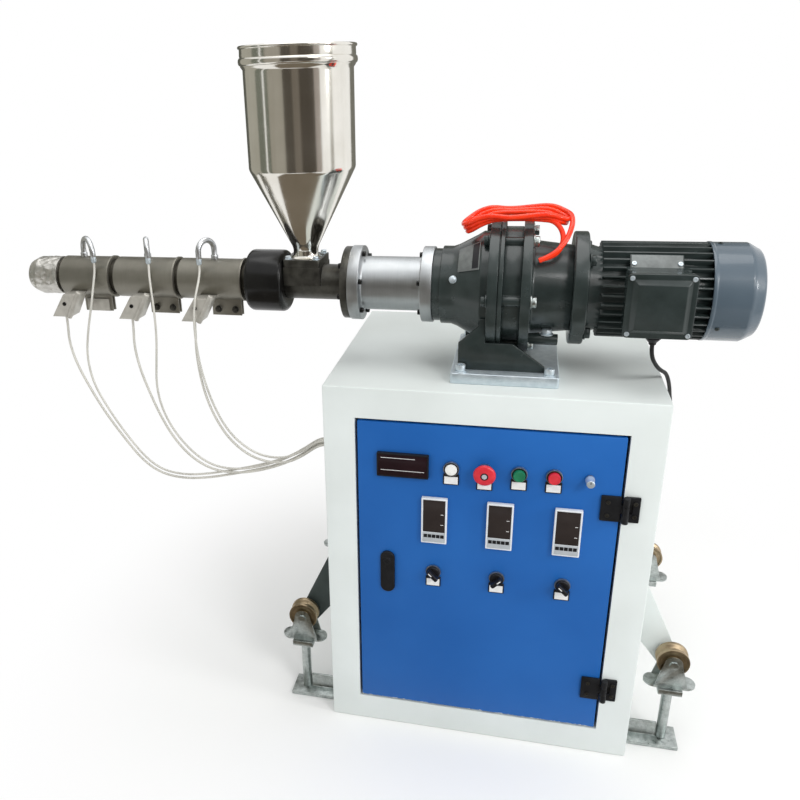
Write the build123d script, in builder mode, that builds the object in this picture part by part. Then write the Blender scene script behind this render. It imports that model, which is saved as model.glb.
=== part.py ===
from build123d import *
from math import pi, radians, tan
import os

os.makedirs("parts", exist_ok=True)

# Single-screw plastic extruder on its control cabinet, in millimetres
# The origin is on the floor under the middle of the cabinet: +X to the motor end, +Y to the back, +Z up

# Cabinet of folded sheet
cabinet_width = 600
cabinet_depth = 500
cabinet_height = 765
sheet = 2
frame_margin = 60
frame_return = 20

# Door, hung flush in the front frame
door_gap = 5
door_fold = 18
door_proud = 1

# Door hinges
hinge_above_opening_foot = 103
hinge_below_opening_head = 141
hinge_height = 50
hinge_knuckle_radius = 6
hinge_pin_radius = 2.5
hinge_pin_clearance = 0.1
hinge_leaf = 4
hinge_beside_opening = 4
hinge_before_face = 8
door_leaf_reach = 42
frame_leaf_reach = 24
knuckle_gap = 0.5
knuckle_band = 16
leaf_relief = 2
leaf_corner = 2

# Instruments on the door
meter_width = 96
meter_height = 48
meter_depth = 8
meter_from_left = 85
controller_width = 48
controller_height = 96
controller_depth = 9
controller_drop = 197
column_from_left = 145
column_from_right = 85
bezel_lip = 3
instrument_corner = 2
window_recess = 1.5
lock_width = 28
lock_height = 92
lock_depth = 6
lock_edge = 2
lock_from_left = 56
lock_button_radius = 7
lock_button_rise = 2.5
lock_button_inset = 20

# Push-buttons, lamp, emergency stop and speed knob in one row
row_drop = 87
lamp_from_meter = 41
speed_from_right = 55
bezel_radius = 14.5
bezel_depth = 7
bezel_floor = 1
button_radius = 10.5
button_rise = 8
button_edge = 1
button_clearance = 0.5
button_travel = 3
lamp_rise = 11
lamp_edge = 2
mushroom_radius = 20
mushroom_depth = 9
mushroom_edge = 4
mushroom_stand = 16
mushroom_stem_radius = 9
mushroom_travel = 4
speed_bush_radius = 8
speed_bush_depth = 4
speed_knob_radius = 8
speed_knob_depth = 19
speed_knob_edge = 1
speed_knob_taper = 3
knob_gap = 0.5

# Selector switches
selector_drop = 312
selector_collar_radius = 14.5
selector_collar_depth = 5
selector_skirt_radius = 13
selector_skirt_depth = 5
selector_grip_width = 8
selector_grip_inset = 0.5
selector_grip_turns = (135, 45, 135)
selector_grip_depth = 13

# Side roller posts
roller_reach = 75
roller_inset = 65
foot_length = 105
foot_depth = 58
foot_thickness = 8
foot_web_height = 32
foot_web_thickness = 6
foot_web_post_gap = 1
post_radius = 10
post_top_z = 133
post_plate_length = 45
post_plate_depth = 50
post_plate_thickness = 12
fork_plate_length = 97
fork_plate_thickness = 4
fork_cheek = 3
fork_cheek_base = 62
fork_cheek_radius = 17
wheel_radius = 30.5
wheel_width = 28
wheel_groove = 5
wheel_groove_width = 12
wheel_side_gap = 2
wheel_centre_z = 203
axle_radius = 5
axle_head_radius = 9
axle_head = 4
axle_clearance = 0.1
brace_thickness = 6
brace_wall_low = 240
brace_wall_high = 387
brace_foot_inner = 82
brace_foot_outer = 105
brace_foot_rise = 28

# Drive line, parallel to X
axis_y = -85
axis_rise = 132
base_plate_length = 190
base_plate_depth = 240
base_plate_thickness = 20
base_plate_corner = 3
base_plate_x = 22.5

# Stand that carries the reducer
saddle_left = -25
saddle_thickness = 11
saddle_half_depth = 97
saddle_top_below_axis = 36
stand_gusset = 8
gusset_reach = 106
gusset_ledge = 49
gusset_ledge_rise = 51
gusset_toe_rise = 10
left_gusset_reach = 36
left_gusset_rise = 82
left_gusset_toe_rise = 50

# Cycloidal reducer
spigot_length = 15
spigot_radius = 67
bell_start_radius = 72
bell_length = 86
bell_straight = 19
bell_collar = 13
register_radius = 100
register_clearance = 0.3
flange_radius = 119
flange_a_thickness = 26
flange_seam = 1.5
flange_seam_depth = 3
pin_ring_length = 31
pin_ring_radius = 106
pin_boss_radius = 9
pin_boss_count = 6
flange_b_thickness = 17
input_length = 70
input_radius_left = 85
input_radius_right = 77
drain_boss_radius = 10
drain_boss_length = 52
drain_boss_y = -55
drain_boss_z = -82

# Motor
adapter_thickness = 25
adapter_radius = 101
adapter_edge = 2
shield_length = 22
shield_radius = 80
frame_length = 175
frame_radius = 73
fin_tip_radius = 85
fin_thickness = 3.5
fin_count = 32
fin_root = 4
cover_length = 83
cover_radius = 86
cover_chamfer_length = 22
cover_chamfer_depth = 12
cover_dish = 4
cover_dish_radius = 58
grille_slots = 20
grille_slot_width = 4
grille_slot_depth = 3
grille_inner_radius = 18
grille_outer_radius = 48
box_size = 108
box_corner = 6
box_base_size = 100
box_base_sink = 6
box_from_shield = 87
box_rise = 5
box_reach = 143
box_fin_gap = 2
lid_thickness = 14
lid_corner = 8
lid_taper = 40
lid_bevel = 9
lid_flange = 5
gland_from_box = -2
gland_behind_lid = 14
gland_hex_radius = 15.5
gland_hex_height = 8
gland_dome_radius = 13
gland_dome_height = 7
gland_taper = 40

# Lantern between the feed throat and the reducer
lantern_length = 156
lantern_flange_radius = 70.5
lantern_flange = 21
lantern_tube_radius = 50.5

# Feed throat
throat_flange = 14
throat_flange_radius = 68.5
throat_length = 130
throat_radius = 34
throat_pad_length = 72
throat_pad_depth = 82
throat_pad_rise = 35
feed_hole_radius = 21

# Hopper
hopper_from_lantern = 93
hopper_sheet = 1.5
hopper_radius = 99
hopper_flange = 14
hopper_flange_corner = 6
hopper_neck_radius = 24
hopper_neck_height = 18
hopper_cone_height = 147
hopper_body_height = 209
collar_height = 38
collar_step = 4
bead_above_step = 2
bead_height = 12
bead_rise = 3
rim_height = 6
rim_rise = 2.5

# Barrel, ring nut, heaters and nozzle head
nut_length = 77
nut_radius = 60
nut_edge = 9
barrel_radius = 34
barrel_length = 490
band_radius = 40.5
band_clearance = 0.2
band_rim = 2
band_rim_length = 4
band_from_head = 9
band_gaps = (12, 9)
band_from_nut = 11
band_shares = (109, 131, 132)
ear_length = 62
ear_thickness = 3
ear_gap = 8
ear_drop = 73
ear_places = (46, 39, 44)
ear_sink = 2
cap_places = (8, 37, 33)
cap_bottom_width = 42
cap_top_width = 36
cap_lean = 28
cap_top_drop = 25
cap_bottom_drop = 72
cap_front = 65
cap_depth = 34
head_radius = 40
head_length = 75
head_taper = 26
head_tip_radius = 25
outlet_radius = 8
outlet_length = 40

# Thermocouple probes bent over the heater bands
probe_places = (41, 63, 68)
probe_reaches = ((42, -38), (19, -38), (-18, -38))
probe_radius = 5.5
probe_stub_radius = 7
probe_stub_height = 8
probe_crown_rise = 40
probe_end_rise = 7

# Cords
lead_diameter = 5
thermo_diameter = 4.5
motor_cable_diameter = 7
hose_diameter = 9
grommet_thickness = 6
wire_grommet_radius = 22
wire_grommet_y = -145
wire_grommet_drop = 163
motor_grommet_radius = 11
motor_grommet_y = 0
motor_grommet_drop = 115

# Hank of hose over the reducer
hank_left = -78
hank_right = 127
hank_front = 38
hank_back = 38
hank_height = 28
hank_end_height = 26
hank_edge = 6
hank_lie_angle = 42
hank_seat_gap = 0.3

# Places that follow from the sizes above
half_width = cabinet_width / 2
half_depth = cabinet_depth / 2
front_y = -half_depth
opening_half = half_width - frame_margin
opening_low = frame_margin
opening_high = cabinet_height - frame_margin
top_under = cabinet_height - sheet
door_width = 2 * (opening_half - door_gap)
door_height = opening_high - opening_low - 2 * door_gap
door_middle_z = (opening_low + opening_high) / 2
door_face = front_y - door_proud
hinge_x = opening_half + hinge_beside_opening
hinge_y = front_y - hinge_before_face
hinge_heights = (opening_low + hinge_above_opening_foot, opening_high - hinge_below_opening_head)

door_half = door_width / 2
row_z = opening_high - row_drop
selector_z = opening_high - selector_drop
controller_z = opening_high - controller_drop
lock_x = -door_half + lock_from_left
meter_x = -door_half + meter_from_left
first_column = -door_half + column_from_left
last_column = door_half - column_from_right
columns = (first_column, (first_column + last_column) / 2, last_column)
lamp_x = meter_x + meter_width / 2 + lamp_from_meter
speed_x = door_half - speed_from_right
row_pitch = (speed_x - lamp_x) / 4
stop_all_x = lamp_x + row_pitch
start_x = lamp_x + 2 * row_pitch
stop_x = lamp_x + 3 * row_pitch

roller_x = half_width + roller_reach
roller_y = half_depth - roller_inset
fork_base_z = post_top_z + post_plate_thickness
fork_half = wheel_width / 2 + wheel_side_gap

base_plate_top = cabinet_height + base_plate_thickness
axis_z = base_plate_top + axis_rise
flange_a_left = saddle_left + saddle_thickness
flange_a_right = flange_a_left + flange_a_thickness
flange_b_left = flange_a_right + pin_ring_length
flange_b_right = flange_b_left + flange_b_thickness
adapter_left = flange_b_right + input_length
adapter_right = adapter_left + adapter_thickness
frame_left = adapter_right + shield_length
frame_right = frame_left + frame_length
cover_right = frame_right + cover_length
bell_left = flange_a_left - bell_length
spigot_left = bell_left - spigot_length
lantern_right = spigot_left
lantern_left = lantern_right - lantern_length
throat_right = lantern_left
nut_right = throat_right - throat_length
nut_left = nut_right - nut_length
barrel_left = nut_right - barrel_length
heated_length = nut_left - barrel_left - band_from_head - sum(band_gaps) - band_from_nut
band_lengths = [heated_length * share / sum(band_shares) for share in band_shares]
first_band_left = barrel_left + band_from_head
second_band_left = first_band_left + band_lengths[0] + band_gaps[0]
third_band_left = second_band_left + band_lengths[1] + band_gaps[1]
band_lefts = (first_band_left, second_band_left, third_band_left)
bands = [(left, left + length) for left, length in zip(band_lefts, band_lengths)]
ear_xs = [right - place for (left, right), place in zip(bands, ear_places)]
cap_xs = [left + place for left, place in zip(band_lefts, cap_places)]
probe_xs = [left + place for left, place in zip(band_lefts, probe_places)]
head_tip = barrel_left - head_length
pad_top_z = axis_z + throat_pad_rise
hopper_x = lantern_left - hopper_from_lantern
hopper_bottom = pad_top_z + hopper_flange
hopper_neck_top = hopper_bottom + hopper_neck_height
hopper_cone_top = hopper_neck_top + hopper_cone_height
hopper_top = hopper_cone_top + hopper_body_height
flange_top_z = axis_z + flange_radius
box_x = frame_left + box_from_shield
box_z = axis_z + box_rise

drive_axis = Axis((0, axis_y, axis_z), (1, 0, 0))
corner_signs = ((-1, -1), (1, -1), (-1, 1), (1, 1))


def section_plane(x):
    return Plane(origin=(x, axis_y, axis_z), x_dir=(0, 1, 0), z_dir=(1, 0, 0))


def front_plane(x, y, z):
    return Plane(origin=(x, y, z), x_dir=(1, 0, 0), z_dir=(0, -1, 0))


def face_plane(x, z, y=door_face):
    return front_plane(x, y, z)


def turn(*points):
    with BuildSketch(front_plane(0, axis_y, axis_z)) as profile:
        with BuildLine():
            Polyline(*points, close=True)
        make_face()
    revolve(profile.sketch, axis=drive_axis)


def write(piece, name):
    piece.part.label = name
    export_step(piece.part, f"parts/{name}.step")


# Cabinet walls, top and floor
with BuildPart() as side_walls:
    for side in (-1, 1):
        with Locations((side * (half_width - sheet / 2), 0, top_under / 2)):
            Box(sheet, cabinet_depth, top_under)
write(side_walls, "cabinet_side_walls")

with BuildPart() as back_wall:
    with Locations((0, half_depth - sheet / 2, (sheet + top_under) / 2)):
        Box(cabinet_width - 2 * sheet, sheet, top_under - sheet)
write(back_wall, "cabinet_back_wall")

with BuildPart() as top:
    with Locations((0, 0, cabinet_height - sheet / 2)):
        Box(cabinet_width, cabinet_depth, sheet)
write(top, "cabinet_top")

with BuildPart() as floor:
    with Locations((0, sheet / 2, sheet / 2)):
        Box(cabinet_width - 2 * sheet, cabinet_depth - sheet, sheet)
write(floor, "cabinet_floor")

# Front frame: folded stiles, with folded rails between them
with BuildPart() as stiles:
    with BuildSketch():
        with BuildLine():
            Polyline(
                (half_width - sheet, front_y),
                (opening_half, front_y),
                (opening_half, front_y + frame_return),
                (opening_half + sheet, front_y + frame_return),
                (opening_half + sheet, front_y + sheet),
                (half_width - sheet, front_y + sheet),
                close=True,
            )
        make_face()
        mirror(about=Plane.YZ)
    extrude(amount=top_under)
    with Locations((0, front_y + sheet, 0)):
        Box(
            cabinet_width,
            2 * frame_return,
            2 * sheet,
            align=(Align.CENTER, Align.MIN, Align.CENTER),
            mode=Mode.SUBTRACT,
        )
write(stiles, "front_stiles")

with BuildPart() as rails:
    for edge_z, far_z, inward in ((opening_low, 0, -1), (opening_high, top_under, 1)):
        with BuildSketch(Plane.YZ.offset(-opening_half)):
            with BuildLine():
                Polyline(
                    (front_y, far_z),
                    (front_y, edge_z),
                    (front_y + frame_return, edge_z),
                    (front_y + frame_return, edge_z + inward * sheet),
                    (front_y + sheet, edge_z + inward * sheet),
                    (front_y + sheet, far_z),
                    close=True,
                )
            make_face()
        extrude(amount=2 * opening_half)
write(rails, "front_rails")

# Hinges: the frame leaf carries the outer knuckles and the pin, the door leaf the middle knuckle
with BuildPart() as frame_leaves:
    for z in hinge_heights:
        with Locations((hinge_x + frame_leaf_reach / 2, front_y - hinge_leaf / 2, z)):
            Box(frame_leaf_reach, hinge_leaf, hinge_height)
        with Locations((hinge_x, hinge_y, z)):
            Cylinder(hinge_knuckle_radius, hinge_height)
        with Locations((hinge_x, hinge_y, z)):
            Box(
                4 * hinge_knuckle_radius,
                4 * hinge_knuckle_radius,
                knuckle_band + 2 * knuckle_gap,
                mode=Mode.SUBTRACT,
            )
            Cylinder(hinge_pin_radius, hinge_height)
    fillet(frame_leaves.edges().filter_by(Axis.Y).group_by(Axis.X)[-1], leaf_corner)
write(frame_leaves, "hinge_frame_leaves")

with BuildPart() as door_leaves:
    plate_right = hinge_x - hinge_knuckle_radius - leaf_relief
    plate_left = hinge_x - door_leaf_reach
    for z in hinge_heights:
        with Locations(((plate_left + plate_right) / 2, door_face - hinge_leaf / 2, z)):
            Box(plate_right - plate_left, hinge_leaf, hinge_height)
        with Locations((hinge_x - hinge_knuckle_radius, door_face - hinge_leaf / 2, z)):
            Box(2 * hinge_knuckle_radius, hinge_leaf, knuckle_band)
        with Locations((hinge_x, hinge_y, z)):
            Cylinder(hinge_knuckle_radius, knuckle_band)
            Cylinder(hinge_pin_radius + hinge_pin_clearance, hinge_height, mode=Mode.SUBTRACT)
    fillet(door_leaves.edges().filter_by(Axis.Y).group_by(Axis.X)[0], leaf_corner)
write(door_leaves, "hinge_door_leaves")

# Door pan with folded edges
with BuildPart() as door:
    with BuildSketch(face_plane(0, door_middle_z)):
        Rectangle(door_width, door_height)
    extrude(amount=-door_fold)
    offset(amount=-sheet, openings=door.faces().sort_by(Axis.Y)[-1])
write(door, "door_panel")

with BuildPart() as lock:
    with BuildSketch(face_plane(lock_x, door_middle_z)):
        SlotOverall(lock_height, lock_width, rotation=90)
    extrude(amount=lock_depth)
    fillet(lock.faces().sort_by(Axis.Y)[0].edges(), lock_edge)
    lock_button_z = door_middle_z + lock_height / 2 - lock_button_inset
    with BuildSketch(face_plane(lock_x, lock_button_z, door_face - lock_depth)):
        Circle(lock_button_radius)
    extrude(amount=lock_button_rise)
write(lock, "door_lock")

with BuildPart() as meter:
    with BuildSketch(face_plane(meter_x, row_z)):
        RectangleRounded(meter_width, meter_height, instrument_corner)
    extrude(amount=meter_depth)
    with BuildSketch(face_plane(meter_x, row_z, door_face - meter_depth)):
        Rectangle(meter_width - 2 * bezel_lip, meter_height - 2 * bezel_lip)
    extrude(amount=-window_recess, mode=Mode.SUBTRACT)
write(meter, "speed_meter")

with BuildPart() as controllers:
    window_height = controller_height * 2 / 3 - 2 * bezel_lip
    window_z = controller_z + controller_height / 6
    for x in columns:
        with BuildSketch(face_plane(x, controller_z)):
            RectangleRounded(controller_width, controller_height, instrument_corner)
        extrude(amount=controller_depth)
        with BuildSketch(face_plane(x, window_z, door_face - controller_depth)):
            Rectangle(controller_width - 2 * bezel_lip, window_height)
        extrude(amount=-window_recess, mode=Mode.SUBTRACT)
write(controllers, "temperature_controllers")

# Lamp, and the bezels of the buttons, the emergency stop, the speed knob and the selectors
with BuildPart() as lamp:
    with BuildSketch(face_plane(lamp_x, row_z)):
        Circle(bezel_radius)
    extrude(amount=bezel_depth)
    with BuildSketch(face_plane(lamp_x, row_z, door_face - bezel_depth)):
        Circle(button_radius)
    extrude(amount=lamp_rise - bezel_depth)
    fillet(lamp.faces().sort_by(Axis.Y)[0].edges(), lamp_edge)
write(lamp, "pilot_lamp")

with BuildPart() as bezels:
    for x in (start_x, stop_x):
        with BuildSketch(face_plane(x, row_z)):
            Circle(bezel_radius)
        extrude(amount=bezel_depth)
        with BuildSketch(face_plane(x, row_z, door_face - bezel_depth)):
            Circle(button_radius + button_clearance)
        extrude(amount=-(bezel_depth - bezel_floor), mode=Mode.SUBTRACT)
    with BuildSketch(face_plane(stop_all_x, row_z)):
        Circle(bezel_radius)
    extrude(amount=bezel_depth)
    with BuildSketch(face_plane(stop_all_x, row_z, door_face - bezel_depth)):
        Circle(mushroom_stem_radius + button_clearance)
    extrude(amount=-(bezel_depth - bezel_floor), mode=Mode.SUBTRACT)
    with BuildSketch(face_plane(speed_x, row_z)):
        Circle(speed_bush_radius)
    extrude(amount=speed_bush_depth)
    for x in columns:
        with BuildSketch(face_plane(x, selector_z)):
            Circle(selector_collar_radius)
        extrude(amount=selector_collar_depth)
write(bezels, "switch_bezels")

# Push-buttons, each sliding in its bezel
button_seat = door_face - bezel_floor - button_travel - button_clearance
for name, x in (("start_button", start_x), ("stop_button", stop_x)):
    with BuildPart() as button:
        with BuildSketch(face_plane(x, row_z, button_seat)):
            Circle(button_radius)
        extrude(amount=door_face - bezel_depth - button_rise - button_seat, dir=(0, 1, 0))
        fillet(button.faces().sort_by(Axis.Y)[0].edges(), button_edge)
    write(button, name)

# Emergency stop: mushroom head on a stem
mushroom_front = door_face - mushroom_stand - mushroom_depth
stem_seat = door_face - bezel_floor - mushroom_travel - button_clearance
with BuildPart() as mushroom:
    with BuildSketch(face_plane(stop_all_x, row_z, stem_seat)):
        Circle(mushroom_stem_radius)
    extrude(amount=stem_seat - (door_face - mushroom_stand))
    with BuildSketch(face_plane(stop_all_x, row_z, door_face - mushroom_stand)):
        Circle(mushroom_radius)
    extrude(amount=mushroom_depth)
    fillet(mushroom.faces().sort_by(Axis.Y)[0].edges(), mushroom_edge)
write(mushroom, "emergency_stop")

# Knobs that turn: speed knob and three selectors
with BuildPart() as speed_knob:
    with BuildSketch(face_plane(speed_x, row_z, door_face - speed_bush_depth - knob_gap)):
        Circle(speed_knob_radius)
    extrude(amount=speed_knob_depth, taper=speed_knob_taper)
    fillet(speed_knob.faces().sort_by(Axis.Y)[0].edges(), speed_knob_edge)
write(speed_knob, "speed_knob")

for number, (x, grip_turn) in enumerate(zip(columns, selector_grip_turns), 1):
    skirt_back = door_face - selector_collar_depth - knob_gap
    with BuildPart() as selector:
        with BuildSketch(face_plane(x, selector_z, skirt_back)):
            Circle(selector_skirt_radius)
        extrude(amount=selector_skirt_depth)
        with BuildSketch(face_plane(x, selector_z, skirt_back - selector_skirt_depth)):
            grip_length = 2 * (selector_skirt_radius - selector_grip_inset)
            SlotOverall(grip_length, selector_grip_width, rotation=grip_turn)
        extrude(amount=selector_grip_depth)
    write(selector, f"selector_knob_{number}")

# Side roller posts: foot, post, fork with its axle, brace and wheel
with BuildPart() as feet:
    for side, end in corner_signs:
        with Locations((side * (half_width + foot_length / 2), end * roller_y, foot_thickness / 2)):
            Box(foot_length, foot_depth, foot_thickness)
        web_length = roller_reach - post_radius - foot_web_post_gap
        with Locations((side * (half_width + web_length / 2), end * roller_y, foot_thickness)):
            Box(
                web_length,
                foot_web_thickness,
                foot_web_height,
                align=(Align.CENTER, Align.CENTER, Align.MIN),
            )
write(feet, "roller_feet")

with BuildPart() as posts:
    for side, end in corner_signs:
        with Locations((side * roller_x, end * roller_y, (foot_thickness + post_top_z) / 2)):
            Cylinder(post_radius, post_top_z - foot_thickness)
        with Locations((side * roller_x, end * roller_y, post_top_z + post_plate_thickness / 2)):
            Box(post_plate_length, post_plate_depth, post_plate_thickness)
write(posts, "roller_posts")

with BuildPart() as forks:
    for side, end in corner_signs:
        spot = (side * roller_x, end * roller_y)
        with BuildSketch(Plane.XY.offset(fork_base_z)):
            with Locations(spot):
                SlotOverall(fork_plate_length, 2 * (fork_half + fork_cheek))
        extrude(amount=fork_plate_thickness)
        for cheek_side in (-1, 1):
            cheek_y = spot[1] + cheek_side * (fork_half + fork_cheek / 2)
            with BuildSketch(front_plane(spot[0], cheek_y + fork_cheek / 2, 0)):
                with BuildLine():
                    Polyline(
                        (-fork_cheek_radius, wheel_centre_z),
                        (-fork_cheek_base / 2, fork_base_z + fork_plate_thickness),
                        (fork_cheek_base / 2, fork_base_z + fork_plate_thickness),
                        (fork_cheek_radius, wheel_centre_z),
                    )
                    ThreePointArc(
                        (fork_cheek_radius, wheel_centre_z),
                        (0, wheel_centre_z + fork_cheek_radius),
                        (-fork_cheek_radius, wheel_centre_z),
                    )
                make_face()
            extrude(amount=fork_cheek)
        with BuildSketch(front_plane(*spot, wheel_centre_z).offset(-fork_half)):
            Circle(axle_radius)
        extrude(amount=2 * fork_half)
        for head_y, direction in ((-fork_half - fork_cheek, -1), (fork_half + fork_cheek, 1)):
            with BuildSketch(front_plane(spot[0], spot[1] + head_y, wheel_centre_z)):
                RegularPolygon(axle_head_radius, 6)
            extrude(amount=-direction * axle_head)
write(forks, "roller_forks")

with BuildPart() as braces:
    for side, end in corner_signs:
        brace_y = end * roller_y + post_plate_depth / 2
        with BuildSketch(front_plane(0, brace_y + brace_thickness, 0)):
            with BuildLine():
                Polyline(
                    (side * half_width, brace_wall_low),
                    (side * half_width, brace_wall_high),
                    (side * (half_width + brace_foot_outer), post_top_z + brace_foot_rise),
                    (side * (half_width + brace_foot_outer), post_top_z),
                    (side * (half_width + brace_foot_inner), post_top_z),
                    close=True,
                )
            make_face()
        extrude(amount=brace_thickness)
write(braces, "roller_braces")

wheel_names = ("wheel_front_left", "wheel_front_right", "wheel_rear_left", "wheel_rear_right")
for name, (side, end) in zip(wheel_names, corner_signs):
    spot = (side * roller_x, end * roller_y, wheel_centre_z)
    with BuildPart() as wheel:
        with BuildSketch(Plane(origin=spot, x_dir=(1, 0, 0), z_dir=(0, 0, 1))):
            with BuildLine():
                Polyline(
                    (axle_radius + axle_clearance, -wheel_width / 2),
                    (wheel_radius, -wheel_width / 2),
                    (wheel_radius, -wheel_groove_width / 2),
                    (wheel_radius - wheel_groove, -wheel_groove_width / 4),
                    (wheel_radius - wheel_groove, wheel_groove_width / 4),
                    (wheel_radius, wheel_groove_width / 2),
                    (wheel_radius, wheel_width / 2),
                    (axle_radius + axle_clearance, wheel_width / 2),
                    close=True,
                )
            make_face()
        revolve(axis=Axis(spot, (0, 1, 0)))
    write(wheel, name)

# Stand: base plate, and a saddle plate with gussets either side
with BuildPart() as base_plate:
    with Locations((base_plate_x, axis_y, cabinet_height + base_plate_thickness / 2)):
        Box(base_plate_length, base_plate_depth, base_plate_thickness)
    chamfer(base_plate.edges().filter_by(Axis.Z), base_plate_corner)
write(base_plate, "stand_base_plate")

saddle_right = saddle_left + saddle_thickness
with BuildPart() as stand:
    with BuildSketch(section_plane(saddle_left)):
        with Locations((0, (base_plate_top - axis_z - saddle_top_below_axis) / 2)):
            Rectangle(2 * saddle_half_depth, axis_z - saddle_top_below_axis - base_plate_top)
        Circle(register_radius + register_clearance, mode=Mode.SUBTRACT)
    extrude(amount=saddle_thickness)
    for y in (axis_y - saddle_half_depth + stand_gusset, axis_y + saddle_half_depth):
        with BuildSketch(front_plane(0, y, base_plate_top)):
            with BuildLine():
                Polyline(
                    (saddle_right, 0),
                    (saddle_right + gusset_reach, 0),
                    (saddle_right + gusset_reach, gusset_toe_rise),
                    (saddle_right + gusset_ledge, gusset_ledge_rise),
                    (saddle_right, gusset_ledge_rise),
                    close=True,
                )
            make_face()
            with BuildLine():
                Polyline(
                    (saddle_left, 0),
                    (saddle_left - left_gusset_reach, 0),
                    (saddle_left - left_gusset_reach, left_gusset_toe_rise),
                    (saddle_left, left_gusset_rise),
                    close=True,
                )
            make_face()
        extrude(amount=stand_gusset)
write(stand, "stand_bracket")

# Reducer, turned about the drive axis
seam_left = flange_a_left + flange_a_thickness * 2 / 3
with BuildPart() as output_housing:
    turn(
        (spigot_left, 0),
        (spigot_left, spigot_radius),
        (bell_left, spigot_radius),
        (bell_left, bell_start_radius),
        (bell_left + bell_straight, bell_start_radius),
        (flange_a_left - bell_collar, register_radius),
        (flange_a_left, register_radius),
        (flange_a_left, flange_radius),
        (seam_left, flange_radius),
        (seam_left, flange_radius - flange_seam_depth),
        (seam_left + flange_seam, flange_radius - flange_seam_depth),
        (seam_left + flange_seam, flange_radius),
        (flange_a_right, flange_radius),
        (flange_a_right, 0),
    )
write(output_housing, "reducer_output_housing")

with BuildPart() as pin_ring:
    with BuildSketch(section_plane(flange_a_right)):
        Circle(pin_ring_radius)
        with PolarLocations(pin_ring_radius, pin_boss_count):
            Circle(pin_boss_radius)
    extrude(amount=pin_ring_length)
write(pin_ring, "reducer_pin_ring")

with BuildPart() as input_housing:
    turn(
        (flange_b_left, 0),
        (flange_b_left, flange_radius),
        (flange_b_right, flange_radius),
        (flange_b_right, input_radius_left),
        (adapter_left, input_radius_right),
        (adapter_left, 0),
    )
    with BuildSketch(section_plane(flange_b_right)):
        with Locations((drain_boss_y, drain_boss_z)):
            Circle(drain_boss_radius)
    extrude(amount=drain_boss_length)
write(input_housing, "reducer_input_housing")

with BuildPart() as adapter:
    with BuildSketch(section_plane(adapter_left)):
        Circle(adapter_radius)
    extrude(amount=adapter_thickness)
    chamfer(adapter.edges(), adapter_edge)
write(adapter, "motor_adapter_flange")

# Motor: end shield and finned frame, terminal box, lid, gland and fan cover
box_seat_y = axis_y - fin_tip_radius - box_fin_gap
fin_height = fin_tip_radius - frame_radius + fin_root
with BuildPart() as motor:
    turn(
        (adapter_right, 0),
        (adapter_right, shield_radius),
        (frame_left, frame_radius),
        (frame_right, frame_radius),
        (frame_right, 0),
    )
    with BuildSketch(section_plane(frame_left)):
        with PolarLocations(fin_tip_radius - fin_height / 2, fin_count, start_angle=180 / fin_count):
            Rectangle(fin_height, fin_thickness)
    extrude(amount=frame_length)
    with BuildSketch(front_plane(box_x, box_seat_y, box_z)):
        Rectangle(box_base_size, box_base_size)
    extrude(amount=-(fin_tip_radius + box_fin_gap - frame_radius + box_base_sink))
write(motor, "motor_frame")

lid_back_y = axis_y - box_reach + lid_thickness
with BuildPart() as terminal_box:
    with BuildSketch(front_plane(box_x, box_seat_y, box_z)):
        RectangleRounded(box_base_size, box_base_size, box_corner)
    extrude(amount=box_seat_y - lid_back_y)
write(terminal_box, "terminal_box")

with BuildPart() as lid:
    with BuildSketch(front_plane(box_x, lid_back_y, box_z)):
        RectangleRounded(box_size, box_size, lid_corner)
    extrude(amount=lid_flange)
    with BuildSketch(front_plane(box_x, lid_back_y - lid_flange, box_z)):
        Rectangle(box_size - 2 * lid_bevel, box_size - 2 * lid_bevel)
    extrude(amount=lid_thickness - lid_flange, taper=lid_taper)
write(lid, "terminal_box_lid")

gland_top_z = box_z - box_base_size / 2
gland_place = (box_x + gland_from_box, lid_back_y + gland_behind_lid)
with BuildPart() as gland:
    with BuildSketch(Plane.XY.offset(gland_top_z)):
        with Locations(gland_place):
            RegularPolygon(gland_hex_radius, 6)
    extrude(amount=-gland_hex_height)
    with BuildSketch(Plane.XY.offset(gland_top_z - gland_hex_height)):
        with Locations(gland_place):
            Circle(gland_dome_radius)
    extrude(amount=-gland_dome_height, taper=gland_taper)
write(gland, "cable_gland")

with BuildPart() as fan_cover:
    turn(
        (frame_right, 0),
        (frame_right, cover_radius),
        (cover_right - cover_chamfer_length, cover_radius),
        (cover_right, cover_radius - cover_chamfer_depth),
        (cover_right, cover_dish_radius),
        (cover_right - cover_dish, cover_dish_radius - cover_dish),
        (cover_right - cover_dish, 0),
    )
    with BuildSketch(section_plane(cover_right - cover_dish)):
        with PolarLocations((grille_inner_radius + grille_outer_radius) / 2, grille_slots):
            SlotOverall(grille_outer_radius - grille_inner_radius, grille_slot_width)
    extrude(amount=-grille_slot_depth, mode=Mode.SUBTRACT)
write(fan_cover, "fan_cover")

# Lantern and feed throat
with BuildPart() as lantern:
    turn(
        (lantern_left, 0),
        (lantern_left, lantern_flange_radius),
        (lantern_left + lantern_flange, lantern_flange_radius),
        (lantern_left + lantern_flange, lantern_tube_radius),
        (lantern_right - lantern_flange, lantern_tube_radius),
        (lantern_right - lantern_flange, lantern_flange_radius),
        (lantern_right, lantern_flange_radius),
        (lantern_right, 0),
    )
write(lantern, "coupling_lantern")

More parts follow.
